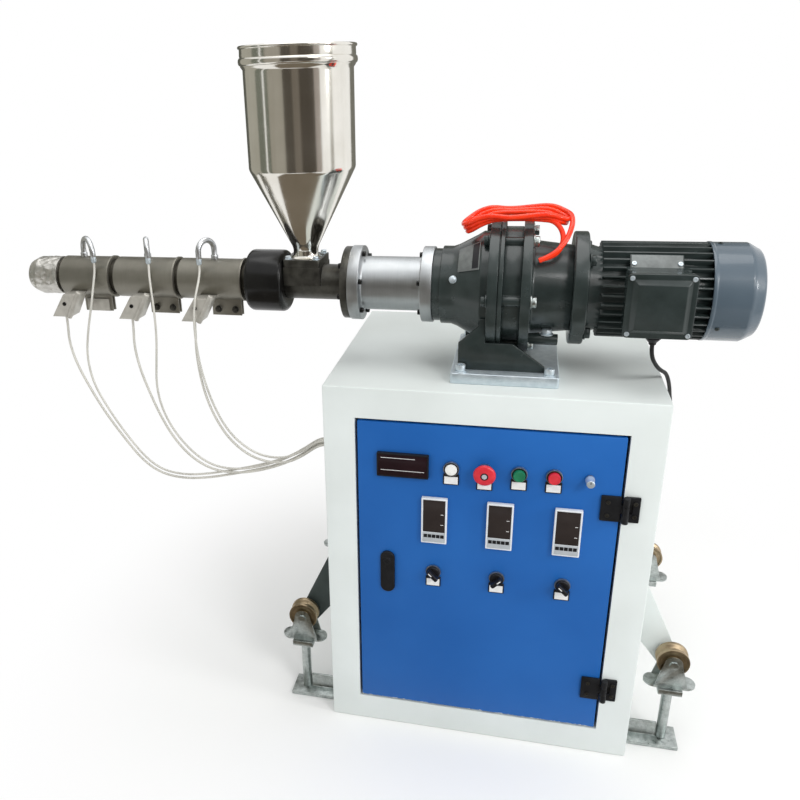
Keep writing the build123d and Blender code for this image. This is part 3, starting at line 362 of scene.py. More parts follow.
def turned(name, profile, centre, axis, steps=96):  # profile points are (along, radius)
    along, out = (Vector(v) for v in turnAxes[axis])
    places = [(Vector(centre) + along * step + out * radius) * mm for step, radius in profile]
    clearSelection()
    bpy.ops.mesh.primitive_plane_add(size=mm, location=(0, 0, 0))
    piece = bpy.context.object
    piece.name = name
    bpy.ops.object.mode_set(mode="EDIT")
    bpy.ops.mesh.merge(type="CENTER")
    bpy.ops.transform.translate(value=places[0])
    for before, after in zip(places, places[1:]):
        bpy.ops.mesh.extrude_region_move(TRANSFORM_OT_translate={"value": after - before})
    bpy.ops.mesh.select_all(action="SELECT")
    bpy.ops.mesh.spin(steps=steps, angle=2 * pi, center=Vector(centre) * mm, axis=along)
    bpy.ops.mesh.select_all(action="SELECT")
    bpy.ops.mesh.remove_doubles(threshold=1e-6)
    bpy.ops.mesh.normals_make_consistent(inside=False)
    leaveEdit()
    return piece


def held(profile, hold):  # a point just inside both ends of each long stretch keeps its shading straight
    points = [Vector(profile[0])]
    for end in (Vector(point) for point in profile[1:]):
        start = points[-1]
        if (end - start).length > 3 * hold:
            inward = (end - start).normalized() * hold
            points += [start + inward, end - inward]
        points.append(end)
    return points


def mirrored(profile, middle):  # the other half of a profile, from its middle outwards
    return [(2 * middle - along, radius) for along, radius in reversed(profile)]


def driveTurned(name, profile, steps=128):  # about the drive axis, along is the place on X
    return turned(name, profile, (0, axisY, axisZ), "drive", steps)


def dressed(nodeName, edge, segments=2):  # a merged copy of a CAD node with its edges rounded
    makeActive(nodes[nodeName])
    bpy.ops.object.duplicate()
    piece = bpy.context.object
    piece.parent = None
    for key in list(piece.keys()):
        del piece[key]
    piece.name = nodeName + "_dressed"
    editAll(piece)
    bpy.ops.mesh.remove_doubles(threshold=2e-6)
    bpy.ops.mesh.dissolve_limited(angle_limit=radians(1))
    leaveEdit()
    return roundEdges(piece, edge, segments)


def dress(nodeName, edge, finish, body="machine", segments=2):
    return settle(dressed(nodeName, edge, segments), body, finish, (nodeName,))


def joined(name, pieces):
    clearSelection()
    for piece in pieces:
        piece.select_set(True)
    bpy.context.view_layer.objects.active = pieces[0]
    bpy.ops.object.join()
    piece = bpy.context.object
    piece.name = name
    return piece


def copyOf(master, matrix):
    makeActive(master)
    bpy.ops.object.duplicate()
    copy = bpy.context.object
    copy.data.transform(matrix)
    return copy


def turnTo(facing):  # turns the upright Z to face a way
    return Vector(upward).rotation_difference(Vector(facing)).to_matrix().to_4x4()


def fastened(name, master, places, body, finish):  # copies of one fastener, each at a place and facing a way
    copies = [copyOf(master, Matrix.Translation(Vector(place) * mm) @ turnTo(facing))
              for place, facing in places]
    return settle(joined(name, copies), body, finish)


def evenly(count, start):  # degrees of a ring of equal steps
    return [start + 360 / count * step for step in range(count)]


def aroundDrive(x, radius, degrees):  # a point round the drive axis, degrees from the top to the front
    return Vector((x, axisY - radius * sin(radians(degrees)), axisZ + radius * cos(radians(degrees))))


def outward(degrees):  # the way from the drive axis to such a point
    return aroundDrive(0, 1, degrees) - Vector((0, axisY, axisZ))


# Fasteners, modelled once about Z
hexSizes = {"across": 17, "height": 7.5, "washerRadius": 12, "washerThick": 2}
smallHexSizes = {"across": 10, "height": 4.5, "washerRadius": 7, "washerThick": 1.2}
capSizes = {"radius": 9, "height": 11, "recess": 5}
smallCapSizes = {"radius": 5, "height": 6, "recess": 3}
screwSizes = {"radius": 4, "height": 2.2, "recess": 1}


def cylinder(sides, radius, height, foot=0):
    clearSelection()
    bpy.ops.mesh.primitive_cylinder_add(vertices=sides, radius=radius * mm, depth=height * mm,
                                        location=(0, 0, (foot + height / 2) * mm))
    return bpy.context.object


def hexHead(across, height, washerRadius, washerThick):
    washer = roundEdges(cylinder(32, washerRadius, washerThick), 0.4, 1)
    head = cylinder(6, across / sqrt(3), height, washerThick)
    editFaces(head, lambda face: face.normal.z > 0.9)
    bpy.ops.mesh.inset(thickness=across * 0.06 * mm)
    bpy.ops.transform.translate(value=(0, 0, 0.8 * mm))
    leaveEdit()
    roundEdges(head, 0.4, 1)
    for part in (washer, head):
        makeActive(part)
        bpy.ops.object.transform_apply(location=True, rotation=True, scale=True)
    return joined("hexHeadMaster", [head, washer])


def roundHead(name, radius, height, recess):  # socket cap or pan head with a driven recess
    head = roundEdges(cylinder(28, radius, height), radius * 0.14, 2)
    head.name = name
    editFaces(head, lambda face: face.normal.z > 0.99 and face.calc_area() > 2 * (radius * mm) ** 2)
    bpy.ops.mesh.inset(thickness=radius * 0.38 * mm)
    bpy.ops.mesh.extrude_region_move(TRANSFORM_OT_translate={"value": (0, 0, -recess * mm)})
    leaveEdit()
    bpy.ops.object.transform_apply(location=True, rotation=True, scale=True)
    return head


hexMaster = hexHead(**hexSizes)
smallHexMaster = hexHead(**smallHexSizes)
capMaster = roundHead("capMaster", **capSizes)
smallCapMaster = roundHead("smallCapMaster", **smallCapSizes)
screwMaster = roundHead("screwMaster", **screwSizes)
print("fasteners ready")

# Cords: the routes of the CAD tubes, in millimetres
cordLooks = {"lead": 5, "thermo": 4.5, "motor": 7, "hose": 9}
routes = {
    "heater_lead_1": ("lead", 826, (
        (-874, -133, 845), (-874, -133, 823), (-877, -134, 786), (-866, -136, 738), (-842, -138, 684),
        (-815, -138, 630), (-780, -138, 575), (-742, -138, 522), (-700, -138, 492), (-645, -138, 484),
        (-585, -138, 492), (-522, -138, 508), (-462, -138, 525), (-408, -138, 545), (-372, -138, 568),
        (-349, -138, 586), (-335, -138, 594.5), (-321, -138, 598), (-306, -138, 598))),
    "heater_lead_2": ("lead", 671, (
        (-724, -133, 845), (-724, -133, 823), (-726, -137, 786), (-717, -142, 737), (-700, -145, 686),
        (-682, -145, 634), (-655, -145, 580), (-618, -145, 538), (-572, -145, 514), (-516, -145, 512),
        (-460, -145, 525), (-408, -145, 546), (-372, -145, 568), (-349, -145, 586), (-335, -145, 594.5),
        (-321, -145, 598), (-306, -145, 598))),
    "heater_lead_3": ("lead", 512, (
        (-588, -133, 845), (-588, -133, 823), (-589, -138, 786), (-583, -146, 738), (-572, -152, 690),
        (-556, -152, 642), (-530, -152, 596), (-492, -152, 562), (-448, -152, 547), (-402, -152, 551),
        (-372, -152, 568), (-349, -152, 586), (-335, -152, 594.5), (-321, -152, 598), (-306, -152, 598))),
    "thermocouple_cable_1": ("thermo", 929, (
        (-799, -123, 964.5), (-799, -123, 950), (-799, -126, 934), (-801, -134, 910), (-809, -141, 866),
        (-825, -141, 812), (-838, -138, 757), (-833, -138, 697), (-806, -138, 638), (-772, -138, 581),
        (-735, -138, 530), (-697, -138, 501), (-645, -138, 493), (-586, -138, 501), (-524, -138, 517),
        (-465, -138, 534), (-411, -138, 554), (-374, -138, 577), (-350, -138, 595), (-336, -138, 603.5),
        (-321, -138, 607), (-306, -138, 607))),
    "thermocouple_cable_2": ("thermo", 771, (
        (-679, -123, 964.5), (-679, -123, 950), (-679, -126, 934), (-675, -134, 910), (-669, -143, 866),
        (-669, -145, 811), (-676, -145, 755), (-683, -145, 700), (-675, -145, 645), (-650, -145, 592),
        (-611, -145, 547), (-568, -145, 523), (-514, -145, 521), (-462, -145, 534), (-411, -145, 555),
        (-374, -145, 577), (-350, -145, 595), (-336, -145, 603.5), (-321, -145, 607), (-306, -145, 607))),
    "thermocouple_cable_3": ("thermo", 621, (
        (-571, -123, 964.5), (-571, -123, 950), (-571, -127, 934), (-572, -140, 914), (-574, -154, 892),
        (-577, -160, 858), (-579, -159, 819), (-578, -155, 770), (-571, -152, 720), (-557, -152, 670),
        (-535, -152, 621), (-504, -152, 585), (-462, -152, 561), (-412, -152, 559), (-374, -152, 577),
        (-350, -152, 595), (-336, -152, 603.5), (-321, -152, 607), (-306, -152, 607))),
    "motor_cable": ("motor", 326, (
        (262, -200, 857), (262, -200, 842), (267, -190, 824), (277, -171, 806), (289, -150, 790),
        (303, -126, 777), (313, -103, 755), (321, -79, 732), (328, -54, 707), (336, -30, 680.5),
        (336.4, -12.5, 662.5), (330, -4.6, 654.6), (318.9, 0, 650), (306, 0, 650))),
}


def cordLine(name, route, diameter, finish):
    line = bpy.data.curves.new(name, "CURVE")
    line.dimensions = "3D"
    line.bevel_depth = diameter / 2 * mm
    line.bevel_resolution = 4
    line.resolution_u = 8
    line.use_fill_caps = True
    spline = line.splines.new("NURBS")
    spline.points.add(len(route) - 1)
    for point, place in zip(spline.points, route):
        point.co = (*(Vector(place) * mm), 1)
    spline.order_u = 3
    spline.use_endpoint_u = True
    piece = bpy.data.objects.new(name, line)
    bpy.context.scene.collection.objects.link(piece)
    line.materials.append(finishes[finish])
    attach(piece, "machine")
    return piece


for cordName, (kind, length, route) in routes.items():
    cordFinish = "mouldedRubber" if kind == "motor" else "braidedSleeve"
    cord = cordLine(cordName + "_line", route, cordLooks[kind], cordFinish)
    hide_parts(cordName)

# Hose hank: loose turns over the reducer's flanges that drop on the input housing
hank = {"steps": 69, "half": 28, "side": 29, "leftDip": 36, "rightDip": 26, "middle": 25,
        "lift": 1.5, "endLift": 5, "spread": 8.5, "endShare": 0.45}


def fold(centre, along, across, radius, last=90):  # half a round turn, a point every 30 degrees
    return [Vector(centre) + (Vector(along) * cos(radians(a)) + Vector(across) * sin(radians(a))) * radius
            for a in range(-90, last + 1, 30)]


def hankRoute():
    straight = ((72, 1044), (54, 1045), (18, 1045), (-8, 1043), (-22, 1038))
    front = [Vector((x, axisY - hank["side"], z)) for x, z in straight]
    back = [Vector((x, axisY + hank["side"], z)) for x, z in reversed(straight)]
    leftDip, rightDip = radians(hank["leftDip"]), radians(hank["rightDip"])
    left = fold((-34, axisY, 1032), (-cos(leftDip), 0, -sin(leftDip)), (0, 1, 0), hank["half"])
    right = fold((86, axisY, 1041), (cos(rightDip), 0, -sin(rightDip)), (0, -1, 0), hank["half"])
    turn = front + left + back + right
    route = fold((72, -131.5, 1014), (1, 0, 0), (0, 0.5, 0.864), 38, 60)  # bare end, in front below the turns
    for step in range(hank["steps"]):
        place = turn[step % len(turn)]
        lap = step / len(turn)
        away = Vector((place.x - hank["middle"], place.y - axisY, 0)).normalized()
        fan = Vector((away.x * hank["endShare"] * hank["spread"], away.y * hank["spread"],
                      hank["lift"] + hank["endLift"] * away.x ** 2))
        route.append(place + fan * lap)
    tail = ((124, -105, 1040), (121, -122, 1028), (114, -137, 1013), (102, -148, 998), (86, -154, 987),
            (70, -157, 981))
    return route + [Vector(place) for place in tail]


hosePlaces = hankRoute()
hose = cordLine("hose_hank_line", hosePlaces, cordLooks["hose"], "tubeRed")
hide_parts("hose_coil")
print("cords laid")


# Cabinet: one folded shell with the doorway's returns
def makeCabinet():
    cabinet = {"fold": 2.5, "margin": 60, "returnDepth": 20, "sheet": 2}
    low, high = boxOf("cabinet_side_walls")
    high.z = boxOf("cabinet_top")[1].z
    shell = roundEdges(block("cabinetShell", low, high), cabinet["fold"], 3)
    editFaces(shell, lambda face: face.normal.y < -0.99 and face.calc_area() > 0.1)
    bpy.ops.mesh.inset(thickness=(cabinet["margin"] - cabinet["fold"]) * mm)
    bpy.ops.mesh.extrude_region_move(TRANSFORM_OT_translate={"value": (0, cabinet["returnDepth"] * mm, 0)})
    bpy.ops.mesh.delete(type="FACE")
    leaveEdit()
    applyModifier(shell, "SOLIDIFY", thickness=cabinet["sheet"] * mm, offset=-1)
    settle(shell, "machine", "powderWhite", ("cabinet_side_walls", "cabinet_back_wall", "cabinet_top",
                                             "cabinet_floor", "front_stiles", "front_rails"))


def makeDoor():
    hinge = {"half": 25, "spacing": 13, "fromDoorEdge": 12, "fromFrameEdge": 8, "leaf": 4,
             "backLeft": 250, "backRight": 262, "backHalf": 12, "backThick": 0.8}
    dress("door_panel", 1.2, "powderBlueChipped", "door")
    dress("hinge_door_leaves", 1.2, "castBlack", "door")
    dress("hinge_frame_leaves", 1, "castBlack")
    frameLow, frameHigh = boxOf("hinge_frame_leaves")
    cabinetFront = boxOf("front_stiles")[0].y
    doorX = boxOf("hinge_door_leaves")[0].x + hinge["fromDoorEdge"]
    frameX = frameHigh.x - hinge["fromFrameEdge"]
    middles = (frameLow.z + hinge["half"], frameHigh.z - hinge["half"])
    plates = []
    for middle in middles:
        plateLow = (hinge["backLeft"], cabinetFront - hinge["backThick"], middle - hinge["backHalf"])
        plateHigh = (hinge["backRight"], cabinetFront, middle + hinge["backHalf"])
        plates.append(roundEdges(block("backing", plateLow, plateHigh), 0.2, 1))
    settle(joined("hingeBacking", plates), "machine", "castBlack")
    heights = [middle + side * hinge["spacing"] for middle in middles for side in (-1, 1)]
    doorPlaces = [((doorX, doorFace - hinge["leaf"], z), forward) for z in heights]
    framePlaces = [((frameX, frameHigh.y - hinge["leaf"], z), forward) for z in heights]
    fastened("hingeDoorScrews", screwMaster, doorPlaces, "door", "oiledSteel")
    fastened("hingeFrameScrews", screwMaster, framePlaces, "machine", "oiledSteel")


def makeLock():
    lock = {"fromTop": 20}
    low, high = boxOf("door_lock")
    dress("door_lock", 0.8, "castBlack", "door")
    centre = ((low.x + high.x) / 2, low.y, high.z - lock["fromTop"])
    rim = [(-1.2, 4.6), (0.5, 4.6), (1, 5.4), (0.5, 6.6), (-1.2, 6.6), (-1.2, 4.6)]
    settle(turned("lockButtonRim", rim, centre, "door", 40), "door", "castBlack")


makeCabinet()
makeDoor()
makeLock()
print("cabinet and door made")


# Instruments
def makeMeter():
    meter = {"lip": 3, "windowDepth": 2, "lineThick": 1, "lineStart": 0.08,
             "lines": ((0.74, 0.8), (0.92, 0.28))}
    low, high = boxOf("speed_meter")
    dress("speed_meter", 0.8, "mouldedBlack", "door")
    width, height, lip = high.x - low.x, high.z - low.z, meter["lip"]
    glass = block("meterGlass", (low.x + lip, low.y + 0.3, low.z + lip),
                  (high.x - lip, low.y + meter["windowDepth"], high.z - lip))
    settle(roundEdges(glass, 0.3, 2), "door", "maroonWindow")
    strips = []
    for end, rise in meter["lines"]:  # shares of the meter's width and height
        foot = low.z + height * rise
        strip = block("meterLine", (low.x + width * meter["lineStart"], low.y + 0.15, foot),
                      (low.x + width * end, low.y + 0.6, foot + meter["lineThick"]))
        strips.append(roundEdges(strip, 0.1, 1))
    settle(joined("meterLines", strips), "door", "whiteInsert")


def makeControllers():
    controller = {"width": 48, "windowHeight": 68, "windowDepth": 2, "lip": 3.5, "rim": 1.2, "sunk": 0.6,
                  "plateLip": 2.4, "keys": 5, "keyPitch": 7.8, "keyRise": 12, "keySize": (7.2, 7.6),
                  "markDrops": (30, 52), "markSize": (5, 1.2), "markInset": 8}
    low, high = boxOf("temperature_controllers")
    half, lip, plateLip = controller["width"] / 2, controller["lip"], controller["plateLip"]
    front, back, top = low.y, low.y + controller["windowDepth"], high.z - lip
    windowFoot, keyFoot = top - controller["windowHeight"], low.z + controller["keyRise"]
    keyWide, keyHigh = controller["keySize"]
    markWide, markHigh = controller["markSize"]
    bezels, glasses, keys, marks, lowers = [], [], [], [], []
    for x in (low.x + half, (low.x + high.x) / 2, high.x - half):
        left, right = x - half, x + half
        bezel = roundEdges(block("bezel", (left, front, low.z), (right, high.y, high.z)), 1.6, 3)
        editFaces(bezel, lambda face: face.normal.y < -0.99 and face.calc_area() > 0.003)
        bpy.ops.mesh.inset(thickness=controller["rim"] * mm)
        bpy.ops.mesh.extrude_region_move(TRANSFORM_OT_translate={"value": (0, controller["sunk"] * mm, 0)})
        leaveEdit()
        bezels.append(bezel)
        glass = block("glass", (left + lip, front + 0.1, windowFoot), (right - lip, back, top))
        glasses.append(roundEdges(glass, 0.4, 2))
        lower = block("lower", (left + plateLip, front + 0.3, low.z + plateLip),
                      (right - plateLip, back, windowFoot - 1))
        lowers.append(roundEdges(lower, 0.4, 2))
        for key in range(controller["keys"]):
            keyLeft = x + (key - (controller["keys"] - 1) / 2) * controller["keyPitch"] - keyWide / 2
            piece = block("key", (keyLeft, front + 0.1, keyFoot), (keyLeft + keyWide, back, keyFoot + keyHigh))
            keys.append(roundEdges(piece, 0.5, 2))
        for drop in controller["markDrops"]:
            markLeft, markFoot = right - lip - controller["markInset"], top - drop
            mark = block("mark", (markLeft, front, markFoot),
                         (markLeft + markWide, front + 0.6, markFoot + markHigh))
            marks.append(roundEdges(mark, 0.1, 1))
    settle(joined("controllerBezels", bezels), "door", "mouldedPale", ("temperature_controllers",))
    settle(joined("controllerLowers", lowers), "door", "mouldedGrey")
    settle(joined("controllerGlasses", glasses), "door", "smokedWindow")
    settle(joined("controllerKeys", keys), "door", "mouldedBlack")
    settle(joined("controllerMarks", marks), "door", "whiteInsert")


makeMeter()
makeControllers()
print("instruments made")


# Push-buttons, lamp, emergency stop, speed knob and selectors
def middleOf(name):
    low, high = boxOf(name)
    return Vector(((low.x + high.x) / 2, doorFace, (low.z + high.z) / 2))


def makeSwitches():
    switch = {"ringRadius": 14.5, "ringBore": 11, "stopBore": 9.5, "ringDepth": 7, "selectorDepth": 5,
              "bushRadius": 8, "bushDepth": 4, "plateDepth": 3, "plateDrop": 33.5, "stopDrop": 39,
              "clearOfHead": 11.5, "insertHigh": 15, "insertSide": 2.2, "insertProud": 0.4}
    ringNames = ("pilot_lamp", "emergency_stop", "start_button", "stop_button")
    selectorNames = ("selector_knob_1", "selector_knob_2", "selector_knob_3")
    radius, depth, side = switch["ringRadius"], switch["ringDepth"], switch["insertSide"]
    rings, holders, inserts = [], [], []
    for name in ringNames:
        bore = switch["stopBore"] if name == "emergency_stop" else switch["ringBore"]
        profile = [(0, bore), (0, radius), (depth, radius), (depth, bore), (0, bore)]
        rings.append(roundEdges(turned("ring", profile, middleOf(name), "door", 64), 1, 2))
    discs = [(name, radius, switch["selectorDepth"], 64) for name in selectorNames]
    discs.append(("speed_knob", switch["bushRadius"], switch["bushDepth"], 48))
    for name, outer, deep, steps in discs:
        profile = [(0, 0), (0, outer), (deep, outer), (deep, 0)]
        rings.append(roundEdges(turned("ring", profile, middleOf(name), "door", steps), 0.8, 2))
    settle(joined("switchRings", rings), "door", "ringNickel", ("switch_bezels",))
    collar = [(6.4, 11.2), (6.4, 12.8), (7.7, 12.8), (7.7, 11.2), (6.4, 11.2)]
    collars = [turned("collar", collar, middleOf(name), "door", 64) for name in ringNames
               if name != "emergency_stop"]
    settle(joined("switchCollars", collars), "door", "mouldedBlack")
    for name in ringNames + selectorNames:
        x, y, z = middleOf(name)
        face = y - switch["plateDepth"]
        foot = z - (switch["stopDrop"] if name == "emergency_stop" else switch["plateDrop"])
        holder = block("holder", (x - radius, face, foot), (x + radius, y, z - switch["clearOfHead"]))
        holders.append(roundEdges(holder, 1.4, 3))
        insert = block("insert", (x - radius + side, face - switch["insertProud"], foot + side),
                       (x + radius - side, face + 1, foot + side + switch["insertHigh"]))
        inserts.append(roundEdges(insert, 0.3, 1))
    settle(joined("legendHolders", holders), "door", "mouldedBlack")
    settle(joined("legendInserts", inserts), "door", "whiteInsert")


def makeHeads():
    lens = [(3, 0), (3, 10.9), (9, 10.9), (10.3, 10), (11, 7), (11.3, 0)]
    head = [(4.5, 0), (4.5, 10.5), (14.2, 10.5), (14.8, 10.1), (15, 9.4), (14.7, 8.4), (14.4, 5), (14.3, 0)]
    mushroom = [(5.5, 0), (5.5, 9), (15.6, 9), (16, 11), (16.3, 17.5), (17.2, 19.5), (18.8, 20), (21, 19.4),
                (23.2, 17), (24.4, 13), (24.9, 9), (25, 0)]
    inlay = [(24.4, 0), (24.4, 7.2), (25.1, 7), (25.2, 6.4), (25.2, 0)]
    mark = [(25, 0), (25, 4.8), (25.5, 4.6), (25.6, 4), (25.6, 0)]
    knob = [(4.5, 0), (4.5, 8), (7, 8), (8, 7.4), (22.4, 7), (23.2, 6.3), (23.5, 5), (23.2, 0)]
    for name, node, profile, steps, body, finish, covers in (
            ("lampLens", "pilot_lamp", lens, 64, "door", "frostedLens", True),
            ("start_button_head", "start_button", head, 64, "start_button", "mouldedGreen", True),
            ("stop_button_head", "stop_button", head, 64, "stop_button", "mouldedRed", True),
            ("stopMushroom", "emergency_stop", mushroom, 80, "emergency_stop", "mouldedRed", True),
            ("stopInlay", "emergency_stop", inlay, 64, "emergency_stop", "mouldedBlack", False),
            ("stopMark", "emergency_stop", mark, 48, "emergency_stop", "mouldedGrey", False),
            ("speedKnobTurned", "speed_knob", knob, 48, "speed_knob", "zincBright", True)):
        piece = turned(name, profile, middleOf(node), "door", steps)
        settle(piece, body, finish, (node,) if covers else ())
    pointer = middleOf("speed_knob") + Vector((0, -23.2, 3.4))
    line = block("speedPointer", pointer - Vector((0.6, 0.5, 2.6)), pointer + Vector((0.6, 0.4, 2.2)))
    settle(roundEdges(line, 0.2, 1), "speed_knob", "mouldedBlack")


def makeSelectors():
    selector = {"skirt": 13, "skirtDepth": 5, "gap": 5.5, "gripWide": 8, "gripLong": 25, "gripDepth": 13,
                "pointerInset": 6.5, "turns": (-45, 45, -45)}
    skirt, foot = selector["skirt"], selector["gap"]
    top = foot + selector["skirtDepth"]
    profile = [(foot, 0), (foot, skirt), (foot + 3, skirt), (top, skirt - 1.5), (top, 0)]
    half = Vector((selector["gripWide"] / 2, 0, selector["gripLong"] / 2))
    gripBack, gripFront = Vector((0, 1 - top, 0)), Vector((0, -top - selector["gripDepth"], 0))
    for number, turn in enumerate(selector["turns"], 1):
        name = f"selector_knob_{number}"
        centre = middleOf(name)
        base = roundEdges(turned("skirt", profile, centre, "door", 64), 0.6, 2)
        grip = roundEdges(block("grip", centre - half + gripFront, centre + half + gripBack), 2.4, 3)
        tip = centre + gripFront + Vector((0, 0, half.z - selector["pointerInset"]))
        line = block("selectorPointer", tip - Vector((1, 0.25, 4)), tip + Vector((1, 0.8, 4.5)))
        roundEdges(line, 0.2, 1)
        spin = Matrix.Rotation(radians(turn), 4, "Y")
        for piece in (grip, line):
            piece.data.transform(Matrix.Translation(centre * mm) @ spin @ Matrix.Translation(-centre * mm))
        settle(joined(name + "_body", [base, grip]), name, "mouldedBlack", (name,))
        line.name = name + "_pointer"
        settle(line, name, "whiteInsert")


makeSwitches()
makeHeads()
makeSelectors()
print("switches made")


# Side rollers
def makeRollers():
    for name, edge in (("roller_feet", 1.2), ("roller_posts", 1.2), ("roller_forks", 0.7)):
        dress(name, edge, "zincDull")
    # The braces are split by side: the right-hand ones take the white cabinet paint as painted light, for the
    # strong light that falls on that side, and the left-hand ones keep the dark enamel.
    braces = dressed("roller_braces", 0.8)
    pale = copyOf(braces, Matrix())
    for piece, side in ((braces, 1), (pale, -1)):
        editFaces(piece, lambda face: face.calc_center_median().x * side > 0)
        bpy.ops.mesh.delete(type="FACE")
        leaveEdit()
    pale.name = "roller_braces_right_painted_light"
    settle(braces, "machine", "enamelBrace", ("roller_braces",))
    settle(pale, "machine", "powderWhite")


def makeWheels():
    wheel = {"width": 28, "radius": 30.5, "groove": 6, "grooveWidth": 13, "bore": 5.1, "hub": 13}
    half, groove, radius, hub = wheel["width"] / 2, wheel["grooveWidth"] / 2, wheel["radius"], wheel["hub"]
    side = [(-half, wheel["bore"]), (-half, hub), (-half + 2, hub + 1.5), (-half + 2, radius - 5),
            (-half, radius - 3.5), (-half, radius), (-groove, radius),
            (-groove * 0.4, radius - wheel["groove"])]
    profile = side + mirrored(side, 0) + side[:1]
    for name in ("wheel_front_left", "wheel_front_right", "wheel_rear_left", "wheel_rear_right"):
        low, high = boxOf(name)
        piece = roundEdges(turned(name + "_turned", profile, (low + high) / 2, "wheel", 72), 0.8, 2)
        settle(piece, name, "zincYellow", (name,))


makeRollers()
makeWheels()
print("rollers made")


# Stand and reducer
def makeStand():
    stand = {"boltLeft": -55, "boltRight": 100, "boltFromAxis": 108.5, "washerThick": 2.5}
    dress("stand_base_plate", 1.6, "zincBright")
    dress("stand_bracket", 1.2, "enamelSlate")
    top, thick = boxOf("stand_base_plate")[1].z, stand["washerThick"]
    corners = [Vector((x, y, top)) for x in (stand["boltLeft"], stand["boltRight"])
               for y in (axisY - stand["boltFromAxis"], axisY + stand["boltFromAxis"])]
    profile = [(0, 4), (0, 11), (thick, 11), (thick, 4), (0, 4)]
    washers = [roundEdges(turned("washer", profile, corner, "upright", 40), 0.5, 1) for corner in corners]
    settle(joined("standWashers", washers), "machine", "zincBright")
    places = [(corner + Vector((0, 0, thick)), upward) for corner in corners]
    fastened("standBolts", capMaster, places, "machine", "zincBright")


def makeReducer():
    reducer = {"spigot": 67, "spigotLong": 15, "bell": 72, "register": 100, "flange": 119, "flangeThick": 17,
               "seam": 3, "seamWide": 2, "boltCircle": 108, "bolts": 6, "fromBracket": 47, "saddle": 11}
    flange, groove, bell = reducer["flange"], reducer["flange"] - reducer["seam"], reducer["bell"]
    left, right = (corner.x for corner in boxOf("reducer_output_housing"))
    flangeLeft = boxOf("stand_bracket")[0].x + reducer["fromBracket"]
    bellLeft, seam = left + reducer["spigotLong"], flangeLeft + reducer["flangeThick"]
    seamRight = seam + reducer["seamWide"]
    profile = [(left, 0), (left, reducer["spigot"]), (bellLeft, reducer["spigot"]), (bellLeft, bell),
               (bellLeft + 19, bell), (bellLeft + 30, bell + 4), (flangeLeft - 24, 93),
               (flangeLeft - 13, reducer["register"]), (flangeLeft, reducer["register"]), (flangeLeft, flange),
               (seam, flange), (seam, groove), (seamRight, groove), (seamRight, flange), (right, flange),
               (right, 0)]
    housing = roundEdges(driveTurned("outputHousing", profile), 1.6, 3)
    settle(housing, "machine", "enamelSlate", ("reducer_output_housing",))
    dress("reducer_pin_ring", 1, "enamelSlate")
    inLeft, inRight = (corner.x for corner in boxOf("reducer_input_housing"))
    inFace = inLeft + reducer["flangeThick"]
    profile = [(inLeft, 0), (inLeft, flange), (inFace, flange), (inFace, 88), (inFace + 4, 84.5), (inRight, 77),
               (inRight, 0)]
    housing = roundEdges(driveTurned("inputHousing", profile), 1.6, 3)
    drain = {"radius": 10, "length": 52, "y": -55, "z": -82, "plugShare": 0.62}
    boss = [(0, 0), (0, drain["radius"]), (drain["length"], drain["radius"]), (drain["length"], 0)]
    bossPlace = Vector((inFace, axisY + drain["y"], axisZ + drain["z"]))
    drainBoss = roundEdges(turned("drainBoss", boss, bossPlace, "drive", 40), 1.2, 2)
    settle(joined("inputHousing", [housing, drainBoss]), "machine", "enamelSlate", ("reducer_input_housing",))
    plug = bossPlace + Vector((drain["length"] * drain["plugShare"], 0, drain["radius"] - 1))
    fastened("drainPlug", hexMaster, [(plug, upward)], "machine", "zincBright")
    angles, circle = evenly(reducer["bolts"], 30), reducer["boltCircle"]
    bolts = [(aroundDrive(inFace, circle, angle), (1, 0, 0)) for angle in angles]
    fastened("flangeBolts", hexMaster, bolts, "machine", "zincDull")
    nuts = []
    for angle in angles:
        onSaddle = cos(radians(angle)) < -0.2
        nutX = flangeLeft - reducer["saddle"] if onSaddle else flangeLeft
        nuts.append((aroundDrive(nutX, circle + 2, angle), (-1, 0, 0)))
    fastened("flangeNuts", hexMaster, nuts, "machine", "enamelSlate")
    level = {"x": -76, "radius": 75, "angle": 69}
    place = aroundDrive(level["x"], level["radius"], level["angle"])
    fastened("levelPlug", smallHexMaster, [(place, outward(level["angle"]))], "machine", "zincBright")


def curvedPlate(name, ends, radii, angles, thick):  # a thin plate bent round the drive axis
    clearSelection()
    bpy.ops.mesh.primitive_grid_add(x_subdivisions=2, y_subdivisions=12, size=1)
    piece = bpy.context.object
    piece.name = name
    for vertex in piece.data.vertices:
        share, turn = vertex.co.x + 0.5, vertex.co.y + 0.5
        x, radius, angle = (a + (b - a) * s for (a, b), s in ((ends, share), (radii, share), (angles, turn)))
        vertex.co = aroundDrive(x, radius, angle) * mm
    editAll(piece)
    bpy.ops.mesh.normals_make_consistent(inside=False)
    leaveEdit()
    applyModifier(piece, "SOLIDIFY", thickness=thick * mm, offset=0)
    return roundEdges(piece, thick * 0.3, 1, 60)


makeStand()
makeReducer()
print("stand and reducer made")


